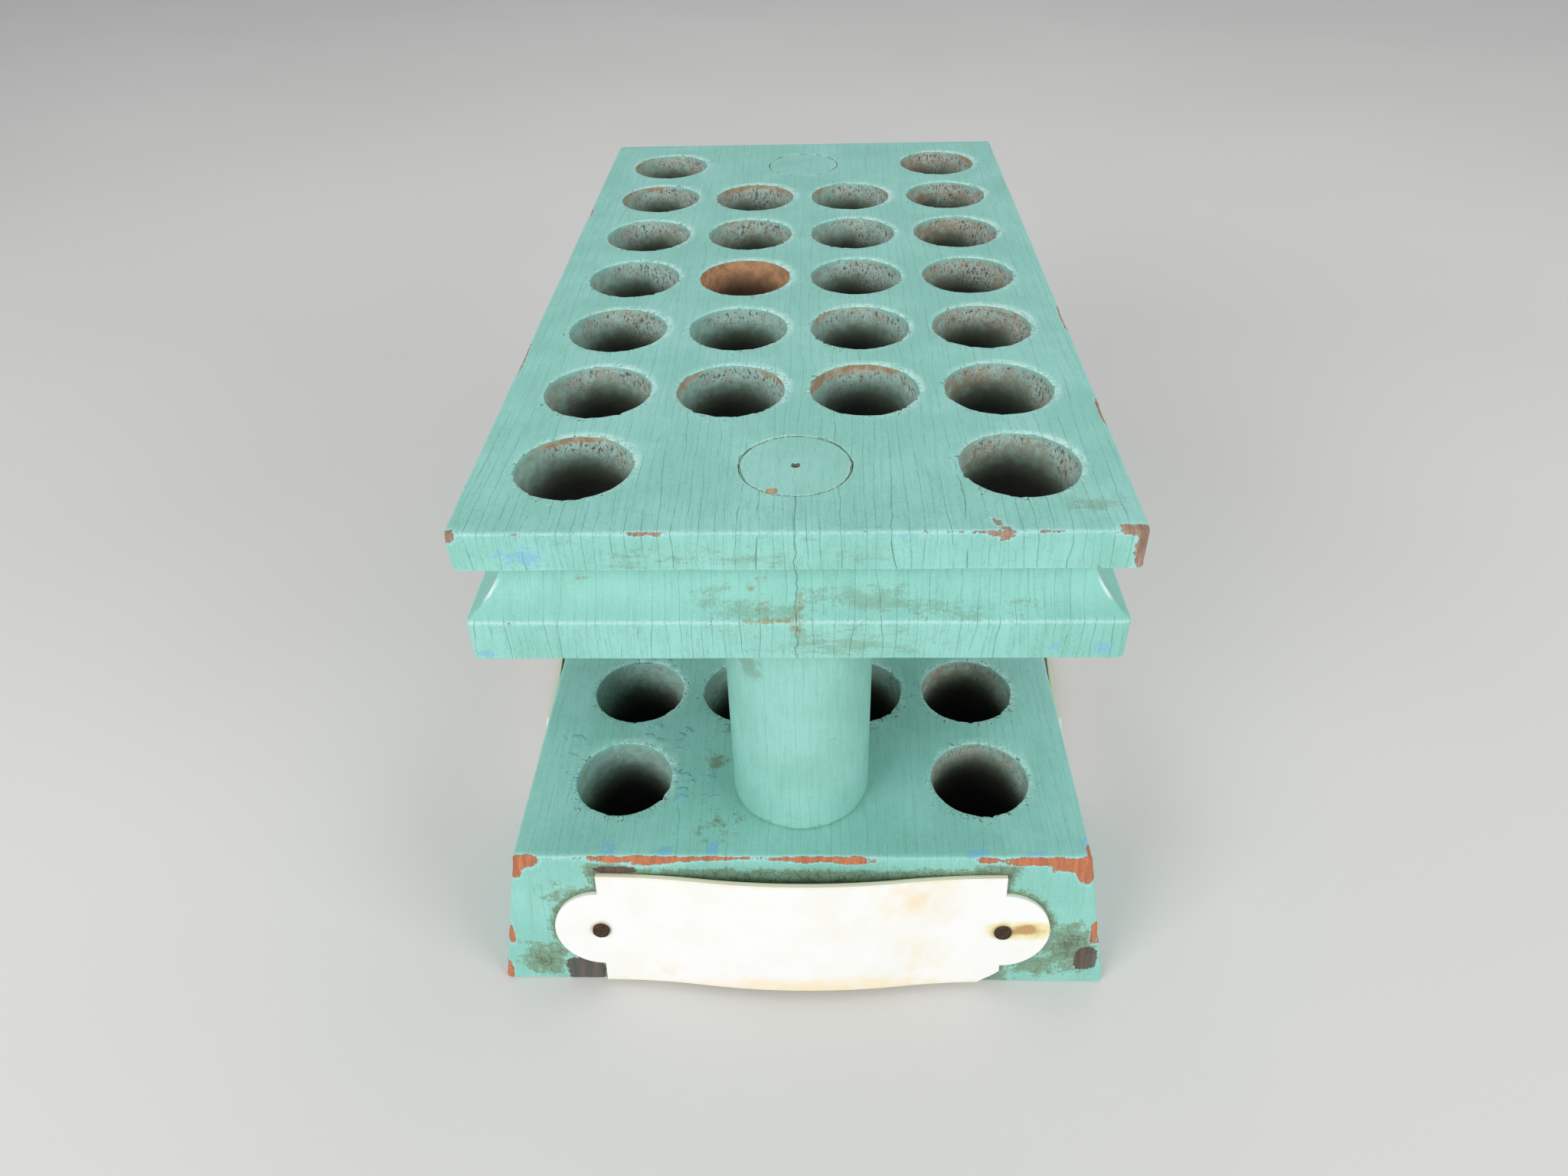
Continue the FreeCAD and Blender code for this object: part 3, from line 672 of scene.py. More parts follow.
def make_base(material):
    shell = Shell()
    add_blind_cells(shell)
    add_base_edge(shell)
    shell.weld()
    where = shell.where.copy()
    normal = shell.outward(BASE_Z)
    height = where[:, 2]
    side = np.abs(where[:, 0])
    rim = np.where(height < BASE_Z - BLIND + 0.5, FAR, from_holes(where))
    in_grid = (side < GRID_HALF[0] + 0.6) & (np.abs(where[:, 1]) < GRID_HALF[1] + 0.1)
    wall = (in_grid & (height < BASE_Z - 0.2) & (height > 5)).astype(float)
    arris = arris_of_base(where)
    on_right = where[:, 0] > 0
    lit = np.where(on_right, 1.0, 0.66)
    fields, bare = block_fields(where, normal, BASE_Z, BASE_SPOTS, rim, wall, lit, 0.6)
    craze = np.where(height > BASE_Z - 0.5, 0.42, 0.3)
    fields.update({
        "arris": arris,
        "rust": np.full(len(where), NONE),
        "craze": craze * (1 - wall) * ramp(54 - side, 0.3, 1.5),
        "fuzz": fields["fuzz"] * np.where(on_right, 0.6, 0.2),
        "brown": fields["brown"] * np.where(on_right, 0.9, 0.2),
        "fray": fields["fray"] + 0.7,
        "front": ramp(-where[:, 1], 95.9, 96.3),
    })
    wear_block(shell, normal, bare, arris, rim, seed=51)
    tear_rims(shell, (BASE_Z,), rim, seed=71)
    return shell.build("base_block_wood", fields, material)


def make_post(name, y, material, seed):
    """A turned post with its tenons, slightly out of true."""
    profile = [(0.0, TENON_FOOT), (6.0, TENON_FOOT), (TENON, TENON_FOOT), (TENON, 20.0),
               (TENON, BASE_Z), (11.0, BASE_Z), (POST - 0.25, BASE_Z), (POST, BASE_Z + 0.3)]
    profile += [(POST, z) for z in np.linspace(BASE_Z + 0.9, UNDER_Z - 0.9, 40)]
    profile += [(POST, UNDER_Z - 0.3), (POST - 0.25, UNDER_Z), (11.0, UNDER_Z), (TENON, UNDER_Z),
                (TENON, 92.0), (TENON, 104.0), (TENON, TENON_END - 0.2), (TENON - 0.15, TENON_END)]
    profile += [(r, TENON_END) for r in (8.6, 8.2, 7.7, 7.0, 6.0, 4.4, 2.6, 1.3, 0.8)]
    profile += [(0.5, TENON_END - 0.5), (0.0, TENON_END - 0.8)]
    rows = [at_height(circle(112) * r + [0, y], z) for r, z in profile]
    shell = Shell()
    shell.patch(rows, closed=True)
    shell.weld()
    where = shell.where.copy()
    on_shaft = (where[:, 2] > BASE_Z + 0.2) & (where[:, 2] < UNDER_Z - 0.2)
    away = where[:, :2] - [0, y]
    reach = np.maximum(np.linalg.norm(away, axis=1), 1e-6)
    wave = rough(where, (6.0, 6.0, 22.0), seed)
    shell.where[:, :2] -= away / reach[:, None] * (on_shaft * 0.05 * (1 + wave))[:, None]
    foot = np.minimum(where[:, 2] - BASE_Z, UNDER_Z - where[:, 2])
    foot = np.where(on_shaft, foot, FAR)
    grime = np.maximum(field_of(where, [((-8.2, y - 10.5, 71.5), (2.4, 3.0, 3.4), 1.1),
                                        ((6.0, y - 11.5, 55.0), (1.6, 3.0, 1.4), 0.8)]),
                       np.where(on_shaft, 0.75 - foot / 1.6, NONE))
    none, far = np.full(len(where), NONE), np.full(len(where), FAR)
    fields = {
        "bare": field_of(where, [((-3.5, -83.7, TENON_END), (1.0, 0.9, 0.8), 2.0)]),
        "blue": none,
        "grime": grime,
        "rust": none,
        "dark": field_of(where, [((0.0, -POST_Y, TENON_END - 0.3), (0.8, 0.8, 1.0), 1.2)]),
        "arris": far,
        "rim": far,
        "across": np.where(on_shaft, np.arctan2(away[:, 0], -away[:, 1]) * POST, where[:, 0]),
        "craze": np.where(on_shaft, 0.32, 0.3),
        "seam": np.where(where[:, 2] > TENON_END - 0.3, SEAM_ZERO + reach - TENON, 0.0),
    }
    return shell.build(name, fields, material)


# Plates


def side_frame(side):
    """A plate's seat on the base: its origin and its axes along, up and out."""
    reach = PLATE_DROP * math.sin(LEAN)
    z = BASE_Z - PLATE_DROP * math.cos(LEAN)
    c, s = math.cos(LEAN), math.sin(LEAN)
    if side == "front":
        place = np.array([0, -BASE_HALF[1] - reach, z])
        return place, np.array([[1, 0, 0], [0, s, c], [0, -c, s]])
    sign = -1 if side == "left" else 1
    return (np.array([sign * (BASE_HALF[0] + reach), 0, z]),
            np.array([[0, sign, 0], [-sign * s, 0, c], [sign * c, 0, s]]))


def bow_at(u, spacing, bow):
    """How far the plate stands out at u: flat at its ears and two blended arcs between."""
    quarter = spacing / 2
    radius = (spacing ** 2 + bow ** 2) / (4 * bow)
    part = np.clip(np.abs(u), 0, spacing)
    middle = bow - (radius - np.sqrt(np.maximum(radius ** 2 - part ** 2, 0)))
    outer = radius - np.sqrt(np.maximum(radius ** 2 - np.clip(spacing - part, 0, radius) ** 2, 0))
    return np.where(part < quarter, middle, np.where(part < spacing, outer, 0.0))


def plate_sheets(side):
    """Grids of (along, up) points over a plate's body and its two ears, and its outline."""
    spacing, _ = SIDES[side]
    outer = np.array([EAR, 10.2, 11.4, 12.4, 13.1, PLATE_HALF])
    inner = np.linspace(-EAR, EAR, 15)
    levels = np.concatenate([-outer[:0:-1], inner, outer[1:]])
    body = []
    for u in np.linspace(-spacing, spacing, 2 * int(spacing) + 1):
        low = -PLATE_HALF
        if side == "front" and u > spacing - CHIP[0]:
            into = (u - spacing + CHIP[0]) / CHIP[0]
            low += CHIP[1] * into ** 0.8 + 0.25 * math.sin(u * 5.1)
        below = -EAR + (levels + EAR) * (low + EAR) / (EAR - PLATE_HALF)
        body.append([(u, v) for v in np.where(levels < -EAR, below, levels)])
    body = np.array(body)
    turns = np.linspace(0, math.pi / 2, 15)
    right = np.array([[(spacing + EAR * math.sin(t), v * max(math.cos(t), 0.0)) for v in inner]
                      for t in turns])
    left = (right * [-1, 1])[::-1]
    low, high = 5, 5 + len(inner) - 1
    rim = [body[:, 0], body[-1, 1:low], right[:, 0], right[::-1, -1], body[-1, high + 1:],
           body[::-1, -1], body[0, :high:-1], left[::-1, -1], left[:, 0], body[0, low - 1:0:-1]]
    return [left, body, right], np.concatenate(rim)


def make_plate(side, material):
    spacing, bow = SIDES[side]
    place, axes = side_frame(side)
    sheets, rim = plate_sheets(side)

    def raised(flat, out):
        lift = bow_at(flat[..., 0], spacing, bow) + SEAT_GAP + out
        return np.concatenate([flat, lift[..., None]], axis=-1)

    shell = Shell()
    for sheet in sheets:
        shell.patch(raised(sheet, PLATE_DEEP))
        shell.patch(raised(sheet, 0.0)[:, ::-1])
    heights = (0.0, 0.5 * PLATE_DEEP, PLATE_DEEP)
    shell.patch([raised(rim, height) for height in heights], closed=True)
    shell.weld()
    local = shell.where.copy()
    shell.where = place + local @ axes
    spots = PLATE_SPOTS if side == "front" else SIDE_SPOTS
    fields = {key: field_of(local * [1, 1, 0], places) for key, places in spots.items()}
    fields["edge"] = np.minimum(np.abs(np.abs(local[:, 1]) - PLATE_HALF), FAR)
    fields["behind"] = PLATE_DEEP - (local[:, 2] - bow_at(local[:, 0], spacing, bow) - SEAT_GAP)
    pin = [np.hypot(local[:, 0] - place_of, local[:, 1]) for place_of in (spacing, -spacing)]
    fields["pin"] = np.minimum(np.min(pin, axis=0), FAR)
    piece = shell.build(side + "_plate_plastic", fields, material, sharp=35)
    bevel = piece.modifiers.new("soft_edges", "BEVEL")
    bevel.width = 0.18 * MM
    bevel.segments = 2
    bevel.limit_method = "ANGLE"
    bevel.angle_limit = math.radians(50)
    return piece


def make_pins(material):
    """Six rusty pins with low dished heads."""
    seat = PLATE_DEEP + 2 * SEAT_GAP
    profile = [(0.0, -11.0), (0.35, -10.6), (0.8, -9.4), (0.8, seat), (1.5, seat),
               (1.7, seat + 0.15), (1.66, seat + 0.45), (1.45, seat + 0.64),
               (1.15, seat + 0.66), (0.7, seat + 0.5), (0.3, seat + 0.42), (0.0, seat + 0.4)]
    shell = Shell()
    for side, (spacing, _) in SIDES.items():
        place, axes = side_frame(side)
        for along in (-spacing, spacing):
            rows = [at_height(circle(32) * r + [along, 0], z) for r, z in profile]
            shell.patch(np.array(rows) @ axes + place, closed=True)
    shell.weld()
    shell.where += 0.04 * np.column_stack([lumps(shell.where, 0.7, seed) for seed in (5, 6, 7)])
    return shell.build("plate_pins_metal", {}, material)


# Materials

# Colours as they look, from 0 to 255
COLOURS = {
    "streak": (124, 184, 168), "dull paint": (120, 182, 166), "faded paint": (160, 214, 206),
    "pores": (96, 150, 136), "rubbed paint and sheen": (190, 232, 228), "painted_highlight": (232, 246, 244),
    "smear": (156, 214, 212), "halo": (194, 236, 226), "blue coat": (126, 190, 213),
    "olive film and shade": (116, 128, 90), "thick grime and shade": (76, 68, 50), "rust stain": (150, 132, 86),
    "flake": (196, 220, 200), "crack": (56, 84, 74), "fibre and splinter highlight": (204, 236, 230),
    "tear and splinter shade": (52, 74, 66), "chip edge": (176, 220, 222), "blister": (134, 198, 208),
    "thin paint": (154, 194, 182), "thinner paint": (138, 174, 161),
    "brown wall": (164, 136, 110), "dust and shade": (80, 90, 74), "old oil and shade": (38, 39, 33),
    "pale fibres": (194, 212, 206), "tan fibres": (172, 156, 134), "speck": (38, 48, 44),
    "hole shade": (42, 40, 33), "cut wood": (202, 156, 114), "worn cut wood": (166, 126, 92),
    "deep wood and shade": (78, 56, 40), "wood pores": (122, 88, 68),
    "char": (104, 74, 64), "dark char": (66, 58, 52),
    "dull wood": (180, 146, 124), "dark dull wood": (140, 112, 96),
    "red wood": (206, 126, 82), "dark red wood": (172, 106, 76),
    "tan wood": (186, 158, 118), "dark tan wood": (164, 136, 100),
    "plastic": (247, 247, 244), "aged plastic": (244, 242, 234), "cream": (245, 226, 184),
    "yellowed edge": (240, 226, 176), "yellowed back": (206, 190, 120),
    "pin stain": (214, 200, 136), "stain": (240, 222, 150), "dark stain": (178, 128, 66),
    "iron": (44, 36, 29), "rust": (84, 60, 40), "bright rust": (140, 96, 58),
    "floor": (226, 224, 220), "floor cloud": (222, 220, 216),
}


def srgb(red, green, blue):
    """The linear colour of one that is given as it looks."""
    def linear(value):
        value /= 255
        return value / 12.92 if value <= 0.04045 else ((value + 0.055) / 1.055) ** 2.4
    return (linear(red), linear(green), linear(blue), 1.0)


def operation(name):
    """A method that adds a math node."""
    return lambda self, other=0.0: self.nodes.math(name, self, other)


class Value:
    """A number that a shader works out at each point. Arithmetic on it adds math nodes."""

    __add__ = operation("ADD")
    __sub__ = operation("SUBTRACT")
    __mul__ = operation("MULTIPLY")
    __truediv__ = operation("DIVIDE")
    __abs__ = operation("ABSOLUTE")
    most = operation("MAXIMUM")

    def __init__(self, nodes, socket):
        self.nodes = nodes
        self.socket = socket

    def __rsub__(self, other):
        return self.nodes.math("SUBTRACT", other, self)

    def step(self, low, high):
        """0 at low and 1 at high, smoothly, and so beyond them."""
        inputs = {"Value": self, "From Min": low, "From Max": high}
        return self.nodes.put("ShaderNodeMapRange", inputs, interpolation_type="SMOOTHSTEP")


class Nodes:
    """Short calls that add and link a material's shader nodes."""

    def __init__(self, name):
        self.material = bpy.data.materials.new(name)
        self.material.use_nodes = True
        self.tree = self.material.node_tree
        self.shader = self.tree.nodes["Principled BSDF"]

    def put(self, kind, inputs, output=0, **settings):
        node = self.tree.nodes.new(kind)
        for key, value in settings.items():
            setattr(node, key, value)
        for key, value in inputs.items():
            self.feed(node.inputs[key], value)
        return Value(self, node.outputs[output])

    def feed(self, socket, value):
        """Links a value to a socket, or sets a number, a vector or a colour's name."""
        if isinstance(value, Value):
            self.tree.links.new(value.socket, socket)
        elif isinstance(value, str):
            socket.default_value = srgb(*COLOURS[value])
        else:
            socket.default_value = value

    def math(self, operation, a, b=0.0):
        return self.put("ShaderNodeMath", {0: a, 1: b}, operation=operation)

    def attribute(self, name):
        return self.put("ShaderNodeAttribute", {}, output="Fac", attribute_name=name)

    def mix(self, share, a, b):
        node = self.tree.nodes.new("ShaderNodeMix")
        node.data_type = "RGBA"
        for key, value in (("Factor", share), ("A", a), ("B", b)):
            self.feed(node.inputs[key], value)
        return Value(self, next(out for out in node.outputs if out.type == "RGBA"))

    def place(self, size=(1.0, 1.0, 1.0)):
        """The place on the object in millimetres, divided by a size for each axis."""
        spot = self.put("ShaderNodeTexCoord", {}, output="Object")
        scale = tuple(1000.0 / value for value in size)
        return self.put("ShaderNodeVectorMath", {0: spot, 1: scale}, operation="MULTIPLY")

    def noise(self, where, scale, detail=3.0, roughness=0.55):
        return self.put("ShaderNodeTexNoise", {"Vector": where, "Scale": scale,
                                               "Detail": detail, "Roughness": roughness})

    def grain(self, size, detail, roughness=0.55):
        """Noise with its own size along each axis, in millimetres."""
        return self.noise(self.place(size), 1.0, detail, roughness)

    def scaled(self, vector, amount):
        inputs = {0: vector, "Scale": amount}
        return self.put("ShaderNodeVectorMath", inputs, operation="SCALE")

    def parts(self, vector):
        """A vector's three numbers."""
        node = self.tree.nodes.new("ShaderNodeSeparateXYZ")
        self.feed(node.inputs[0], vector)
        return [Value(self, socket) for socket in node.outputs]

    def bump(self, height, distance, strength):
        inputs = {"Height": height, "Distance": distance, "Strength": strength}
        return self.put("ShaderNodeBump", inputs)

    def finish(self, colour, roughness, normal=None):
        self.feed(self.shader.inputs["Base Color"], colour)
        self.feed(self.shader.inputs["Roughness"], roughness)
        if normal is not None:
            self.feed(self.shader.inputs["Normal"], normal)
        return self.material


def line_at(n, value, width):
    """1 on thin lines where a value passes each half of a whole number."""
    return abs(n.math("FRACT", value) - 0.5).step(width, width * 0.35)


def long_cracks(n, spacing, slow, broken, ragged):
    """Long wandering hairlines along the grain, broken up, with finer ones between them."""
    across = n.attribute("across")
    bent = n.grain(slow, 1.0) * 2.6 + n.grain((1.4, 4.0, 3.6), 1.0) * 0.22
    present = n.grain(broken, 3.0, 0.6)
    width = ragged * 0.04
    long = line_at(n, across / spacing + bent, width) * present.step(0.40, 0.52)
    fine = line_at(n, across / (spacing * 0.47) + bent * 1.7, width)
    return long.most(fine * present.step(0.56, 0.40) * 0.55)


def net_cracks(n, at, size, width):
    """A fine irregular net."""
    at = n.scaled(at, 1.0 / size)
    shift = n.put("ShaderNodeTexNoise", {"Vector": at, "Scale": 1.3, "Detail": 1.0},
                  output="Color")
    at = n.put("ShaderNodeVectorMath", {0: at, 1: n.scaled(shift, 0.6)}, operation="ADD")
    edge = n.put("ShaderNodeTexVoronoi", {"Vector": at, "Scale": 1.0, "Randomness": 1.0},
                 output="Distance", feature="DISTANCE_TO_EDGE")
    return edge.step(width, width * 0.3)


def plate_grime_and_shade(n, at, rough_edge):
    """Dirt and painted shade in a ring round the front plate, thickest above its ends."""
    across, _, height = n.parts(at)
    down = (BASE_Z - height) / math.cos(LEAN) - PLATE_DROP
    out = abs(across) - SIDES["front"][0]
    ear = n.math("SQRT", out * out + down * down) - EAR
    gap = n.math("MINIMUM", ear, out.most(abs(down) - PLATE_HALF))
    middle = down.step(0.0, -12.0) * abs(across).step(36.0, 30.0)
    above = down.step(-12.0, -13.4) * 0.6 - middle * 0.75
    ring = above + 0.95 - gap * 0.5 + rough_edge * 1.9
    return ring * n.attribute("front")


def topcoat(n, at, ragged, tiny, tint):
    """Faded clouds of teal, paler on what hands and tools have rubbed, with a painted highlight
    along the arrises.
    """
    clouds = n.noise(at, 0.07, 4.0).step(0.35, 0.65)
    coat = n.mix(clouds, srgb(137 + tint, 202, 188), srgb(149 + tint, 212, 200))
    streak = n.grain((0.8, 10.0, 8.0), 4.0, 0.65)
    coat = n.mix(streak.step(0.42, 0.75) * 0.35, coat, "streak")
    coat = n.mix(ragged.step(0.56, 0.8) * 0.45, coat, "dull paint")
    coat = n.mix(ragged.step(0.42, 0.2) * 0.4, coat, "faded paint")
    coat = n.mix(tiny.step(0.56, 0.72) * 0.16, coat, "pores")
    # lighter along the arrises: rubbed paint, and partly a painted highlight
    coat = n.mix((n.attribute("arris") + tiny).step(1.15, 0.5) * 0.6, coat, "rubbed paint and sheen")
    # a painted highlight down the middle of each cove mitre
    coat = n.mix(n.attribute("painted_highlight") * 0.85, coat, "painted_highlight")
    coat = n.mix(n.attribute("smear") * ragged.step(0.36, 0.6) * 0.5, coat, "smear")
    halo = n.attribute("halo") * (ragged + tiny).step(0.84, 1.08)
    return n.mix(halo, coat, "halo"), streak


def hole_paint(n, deep, ragged, tiny):
    """Thin paint near a hole's rim, dust and old oil below it with painted shade that darkens with
    depth, and loose fibres.
    """
    inside = n.mix(ragged.step(0.35, 0.65), "thin paint", "thinner paint")
    inside = n.mix(n.attribute("brown") * ragged.step(0.3, 0.62), inside, "brown wall")
    # darker with depth down the wall: dust and old oil, and partly painted shade
    uneven = deep + (ragged - 0.5) * 2.4
    inside = n.mix(uneven.step(1.6, 7.0), inside, "dust and shade")
    inside = n.mix(uneven.step(5.0, 10.0), inside, "old oil and shade")
    fuzz = n.attribute("fuzz")
    inside = n.mix(fuzz * tiny.step(0.40, 0.56) * 0.65, inside, "pale fibres")
    inside = n.mix(fuzz * ragged.step(0.5, 0.6) * 0.4, inside, "tan fibres")
    specks = n.grain((0.45, 0.45, 1.0), 2.0).step(0.56, 0.63)
    return n.mix(specks * (fuzz * 0.7 + 0.06), inside, "speck")


def painted(name, spacing, along, woods, tint=0, front=False):
    """Crazed and worn teal paint over a blue coat over wood.

    along holds the sizes of the cracks' bends and breaks. front marks the base.
    """
    n = Nodes(name)
    at = n.place()
    bare, arris, wall, deep = map(n.attribute, ("bare", "arris", "wall", "deep"))
    open_air = 1.0 - wall
    ragged = n.noise(at, 0.5, 5.0, 0.65)
    tiny = n.noise(at, 2.4, 3.0, 0.6)
    rough_edge = (ragged - 0.5) + (tiny - 0.5) * 0.4
    coat, streak = topcoat(n, at, ragged, tiny, tint)

    # Grime: an olive film, and black where it is thickest, with painted shade in the ring round
    # the front plate
    smudge = n.grain((3.4, 3.4, 2.6) if front else (6.0, 6.0, 1.4), 3.0, 0.6)
    grime_and_shade = n.attribute("grime") + (smudge - 0.5) * 2.2 + rough_edge * 0.9
    if front:
        # the ring round the front plate is dirt and partly painted shade
        grime_and_shade = grime_and_shade.most(plate_grime_and_shade(n, at, rough_edge))
    speck = grime_and_shade + (tiny - 0.5) * 0.9
    film, core = (0.7, 0.62) if front else (0.38, 0.35)
    coat = n.mix(speck.step(0.05, 0.6) * film, coat, "olive film and shade")
    coat = n.mix(speck.step(0.8, 1.5) * core, coat, "thick grime and shade")
    rusty = (n.attribute("rust") + rough_edge * 1.2).step(0.08, 0.5)
    coat = n.mix(rusty * 0.7, coat, "rust stain")

    # Crazing, and the long split in front
    crack = long_cracks(n, spacing, *along, ragged)
    net = net_cracks(n, at, 2.6, 0.025) * streak.step(0.42, 0.52)
    crack = crack.most(net * 0.22) * n.attribute("craze")
    if front:
        crack = crack.most(net_cracks(n, at, 1.9, 0.035) * grime_and_shade.step(0.25, 0.8) * 0.75)
    line = n.parts(at)[0] + n.grain((9.0, 9.0, 2.0), 2.0) * 1.6
    crack = crack.most(abs(line - 0.9).step(0.09, 0.03) * n.attribute("split"))

    # The glue line round a tenon, with paint flaked off it
    bent = n.grain((2.4, 2.4, 2.4), 2.0)
    seam = abs(n.attribute("seam") - SEAM_ZERO + (bent - 0.5) * 1.3)
    coat = n.mix(seam.step(0.5, 0.25) * tiny.step(0.47, 0.55) * 0.75, coat, "flake")
    crack = crack.most(seam.step(0.17, 0.07) * ragged.step(0.42, 0.5))
    coat = n.mix(crack * 0.6, coat, "crack")

    # The short tears and loose fibres that run out from each rim, each a dark line with a pale one
    # beside it: partly painted shade and painted highlight of raised splinters
    turn = n.attribute("girth") / 1.3 + bent * 5.0
    reach = n.grain((1.1, 1.1, 2.0), 1.0) * 7.0 - 3.6 + n.attribute("fray")
    reach = (n.attribute("rim") - reach).step(0.1, -0.4) * open_air
    # pale line beside each dark one: a fibre, and partly a painted highlight on a splinter's lit
    # side
    coat = n.mix(line_at(n, turn + 0.16, 0.07) * reach * 0.7, coat, "fibre and splinter highlight")
    # dark line: a tear in the paint, and partly painted shade of a splinter
    coat = n.mix(line_at(n, turn, 0.09) * reach * 0.8, coat, "tear and splinter shade")

    # Blue undercoat, and what the holes hold
    blue = (n.attribute("blue") + rough_edge * 2.4).step(0.45, 0.6)
    coat = n.mix(blue * 0.8, coat, "blue coat")
    coat = n.mix(wall * deep.step(0.1, 1.2), coat, hole_paint(n, deep, ragged, tiny))

    # Bare wood where the paint has gone
    wood = n.mix(streak.step(0.35, 0.65), *woods)
    wood = n.mix(tiny.step(0.5, 0.7) * 0.4, wood, "wood pores")
    cut = n.mix(ragged.step(0.35, 0.65), "cut wood", "worn cut wood")
    # bare wood down a hole darkens with depth: dirty wood, and partly painted shade
    cut = n.mix(deep.step(1.6, 7.5) * 0.9, cut, "deep wood and shade")
    wood = n.mix(wall, wood, cut)
    frayed = rough_edge * (1.0 - wall * 0.55)
    nick = arris.step(0.6, 0.2) * ragged.step(0.66, 0.69)
    lost = (bare + frayed).step(0.12, wall * 0.3 + 0.2).most(nick)
    colour = n.mix(lost, coat, wood)
    edge = abs(bare + rough_edge - 0.04).step(0.14, 0.04)
    colour = n.mix(edge * (open_air * 0.45), colour, "chip edge")

    # Charred places, and painted shade deep in the holes
    burnt = (n.attribute("dark") + rough_edge * 0.6).step(0.12, 0.2)
    char = n.mix(streak.step(0.35, 0.65), "char", "dark char")
    colour = n.mix(burnt * 0.92, colour, char)
    # painted shade that deepens down each hole's wall
    colour = n.mix(wall * deep.step(6.0, 15.0) * 0.85, colour, "hole shade")

    height = tiny * 0.5 - crack - lost.most(burnt) * 1.4 + ragged * 0.8
    if front:
        inputs = {"Vector": n.place((3.4, 2.6, 3.4)), "Scale": 1.0}
        bead = n.put("ShaderNodeTexVoronoi", inputs, output="Distance") + (ragged - 0.5) * 1.2
        bead = bead.step(0.42, 0.2) * n.attribute("blister").step(0.1, 0.5)
        height = height + bead * 2.2
        colour = n.mix(bead * 0.7, colour, "blister")
    roughness = lost.most(wall) * 0.35 + 0.40 + streak * 0.12
    return n.finish(colour, roughness, n.bump(height, 0.00012, 0.8))


def plastic():
    """White plastic with yellowed edges, cream clouds and stains from the pins."""
    n = Nodes("plate_plastic")
    at = n.place()
    ragged = n.noise(at, 0.35, 4.0)
    clouds = n.noise(at, 0.09, 3.0)
    colour = n.mix(clouds.step(0.4, 0.75), "plastic", "aged plastic")
    cream = n.attribute("cream") + (ragged - 0.5) * 1.1
    colour = n.mix(cream.step(0.05, 0.9) * 0.75, colour, "cream")
    yellow = (n.attribute("edge") - ragged * 1.6).step(0.1, -0.8)
    colour = n.mix(yellow * 0.4, colour, "yellowed edge")
    colour = n.mix(n.attribute("behind").step(0.45, 0.95) * 0.6, colour, "yellowed back")
    around = (n.attribute("pin") - ragged * 1.4).step(1.9, 0.9)
    colour = n.mix(around * 0.6, colour, "pin stain")
    spill = n.attribute("stain") + (ragged - 0.5) * 0.9
    colour = n.mix(spill.step(-0.1, 0.4) * 0.8, colour, "stain")
    colour = n.mix(spill.step(0.3, 0.7) * 0.8, colour, "dark stain")
    normal = n.bump(clouds + n.noise(at, 0.8, 3.0) * 0.12, 0.0002, 0.3)
    return n.finish(colour, clouds * 0.14 + 0.24, normal)


def rust():
    n = Nodes("pin_metal")
    at = n.place()
    blotch = n.noise(at, 1.6, 4.0, 0.65)
    colour = n.mix(blotch.step(0.35, 0.65), "iron", "rust")
    colour = n.mix(n.noise(at, 3.4, 3.0).step(0.62, 0.72), colour, "bright rust")
    n.shader.inputs["Metallic"].default_value = 0.35
    return n.finish(colour, blotch * 0.25 + 0.55, n.bump(blotch, 0.0002, 0.7))


def floor_material():
    n = Nodes("floor")
    clouds = n.noise(n.place(), 0.004, 2.0).step(0.3, 0.7)
    return n.finish(n.mix(clouds, "floor", "floor cloud"), 0.85)


# Floor, lamps and camera

FLOOR_REACH = 3.0
FLOOR_DROP = -0.0001
LAMP_AIM = (0, 0, 0.06)
# Place and size in metres, and watts
LAMPS = {
    "window": ((-0.62, -0.72, 0.50), (0.6, 0.45), 5.3),
    "fill": ((0.75, -0.60, 0.45), (0.6, 0.45), 3.9),
    "top": ((0.1, 0.45, 1.0), (0.8, 0.8), 2.2),
}
SKY = (0.93, 0.96, 1.0, 1.0)
SKY_STRENGTH = 0.44
# Pitch, yaw and roll in degrees, place in millimetres, and focal length in pixels
CAMERA_TURN = (38.08, -2.245, 1.60)
CAMERA_PLACE = (3.5, -225.8, 197.2)
CAMERA_FOCUS = 1433.5
PHOTO_WIDTH = 2048
SENSOR = 36.0


def placed(right, up, back, place):
    """The matrix of an object with these axes at a place."""
    rows = [[right[k], up[k], back[k], place[k]] for k in range(3)]
    return Matrix(rows + [[0, 0, 0, 1]])


def make_stage():
    mesh = bpy.data.meshes.new("floor")
    corners = [(x * FLOOR_REACH, y * FLOOR_REACH, FLOOR_DROP)
               for x, y in ((-1, -1), (1, -1), (1, 1), (-1, 1))]
    mesh.from_pydata(corners, [], [(0, 1, 2, 3)])
    mesh.materials.append(floor_material())
    floor = bpy.data.objects.new("floor", mesh)
    link(floor)


def make_lamp(name, place, size, power):
    data = bpy.data.lights.new(name, "AREA")
    data.shape = "RECTANGLE"
    data.size, data.size_y = size
    data.energy = power
    lamp = bpy.data.objects.new(name, data)
    back = np.subtract(place, LAMP_AIM)
    back /= np.linalg.norm(back)
    right = np.cross((0, 0, 1), back)
    right /= np.linalg.norm(right)
    lamp.matrix_world = placed(right, np.cross(back, right), back, place)
    link(lamp)


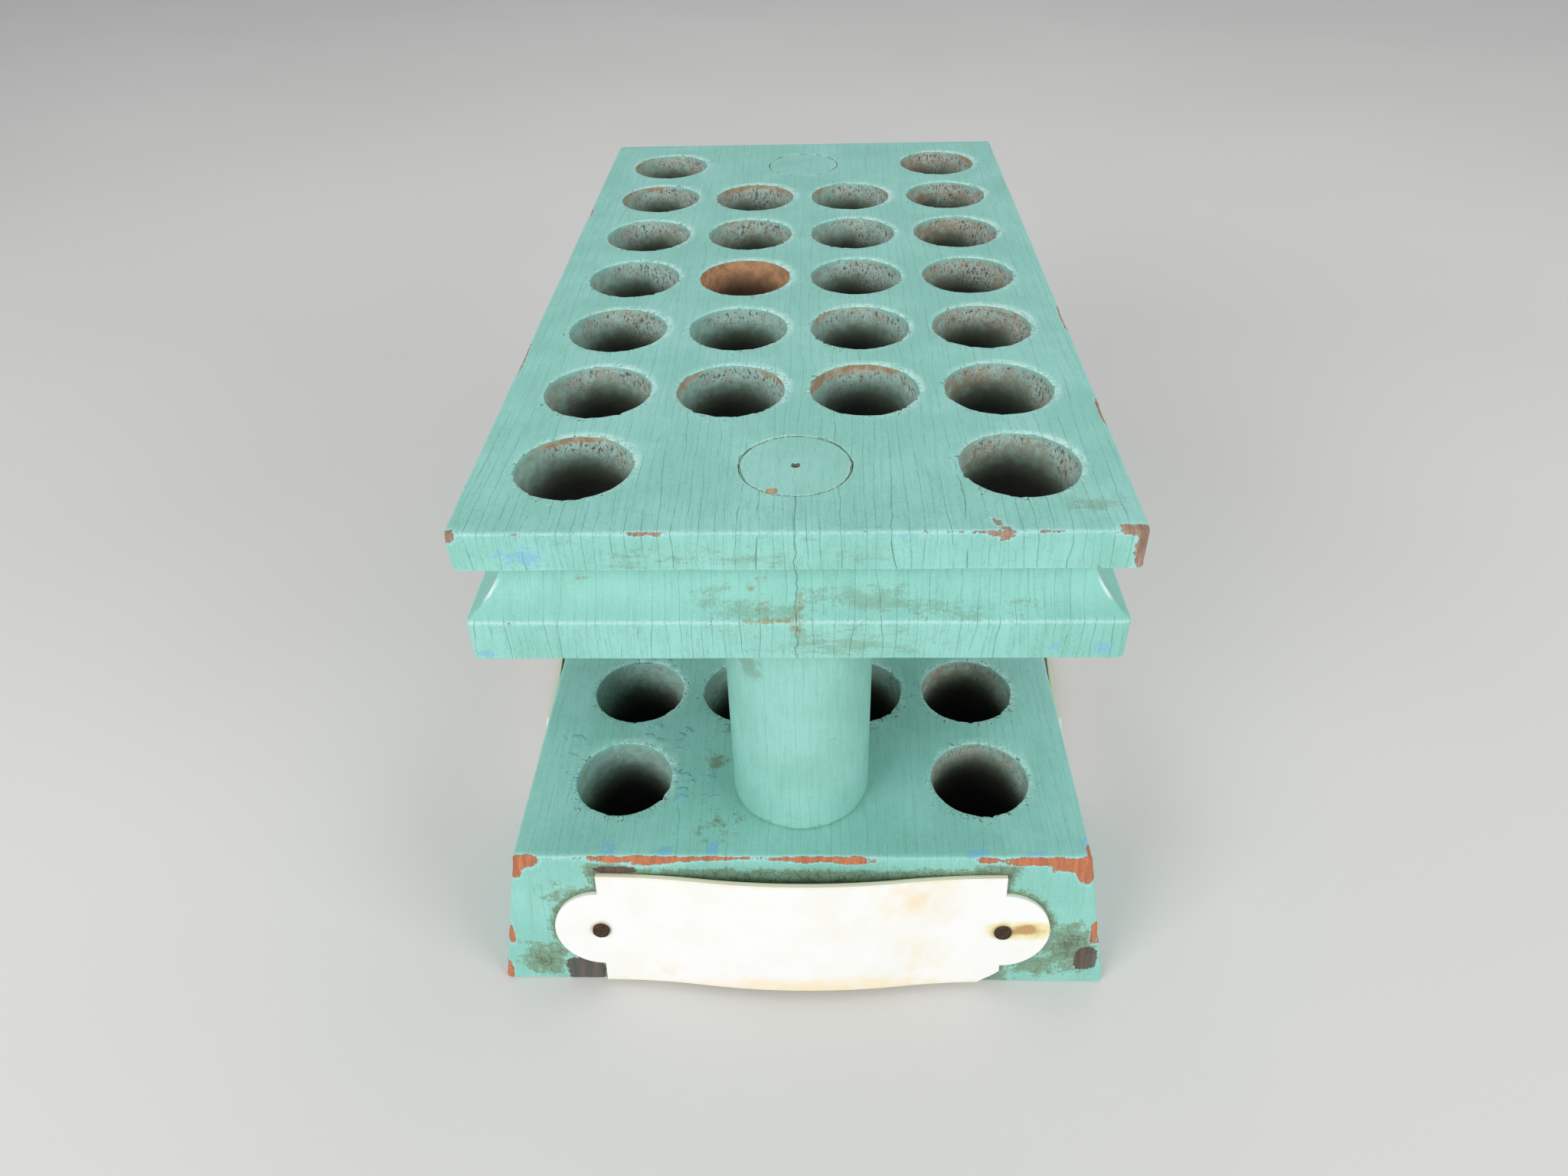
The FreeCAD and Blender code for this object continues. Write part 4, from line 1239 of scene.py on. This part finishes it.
def make_camera():
    """The photograph's place and tilt, worked out from the block's corners."""
    pitch, yaw, roll = (math.radians(angle) for angle in CAMERA_TURN)
    forward = np.array([math.sin(yaw) * math.cos(pitch), math.cos(yaw) * math.cos(pitch),
                        -math.sin(pitch)])
    right = np.array([math.cos(yaw), -math.sin(yaw), 0.0])
    down = np.cross(forward, right)
    tilted = math.cos(roll) * right + math.sin(roll) * down
    lower = -math.sin(roll) * right + math.cos(roll) * down
    data = bpy.data.cameras.new("camera")
    data.sensor_width = SENSOR
    data.lens = SENSOR * CAMERA_FOCUS / PHOTO_WIDTH
    data.clip_start = 0.01
    camera = bpy.data.objects.new("camera", data)
    camera.matrix_world = placed(tilted, -lower, -forward, np.array(CAMERA_PLACE) * MM)
    link(camera)
    bpy.context.scene.camera = camera


def make_world():
    world = bpy.data.worlds.new("world")
    world.use_nodes = True
    back = world.node_tree.nodes["Background"]
    back.inputs["Color"].default_value = SKY
    back.inputs["Strength"].default_value = SKY_STRENGTH
    bpy.context.scene.world = world


make_camera()
make_world()
make_stage()
for name, lamp in LAMPS.items():
    make_lamp(name, *lamp)

# Sizes of the long cracks' bends and breaks along each axis
ALONG_BLOCK = ((6.5, 70.0, 35.0), (2.1, 10.0, 7.0))
ALONG_POST = ((6.0, 6.0, 110.0), (3.0, 3.0, 22.0))
upper = painted("painted_wood", 2.1, ALONG_BLOCK, ("dull wood", "dark dull wood"))
lower = painted("painted_base", 2.0, ALONG_BLOCK, ("red wood", "dark red wood"), front=True)
shaft = painted("painted_post", 1.9, ALONG_POST, ("tan wood", "dark tan wood"), tint=2)
finish_piece(make_top(upper), "top_block")
finish_piece(make_base(lower), "base_block")
finish_piece(make_post("front_post_wood", -POST_Y, shaft, 3), "front_post")
finish_piece(make_post("rear_post_wood", POST_Y, shaft, 9), "rear_post")
white = plastic()
for side in SIDES:
    finish_piece(make_plate(side, white), side + "_plate")
finish_piece(make_pins(rust()), "plate_pins")

scene = bpy.context.scene
scene.view_settings.view_transform = "Standard"
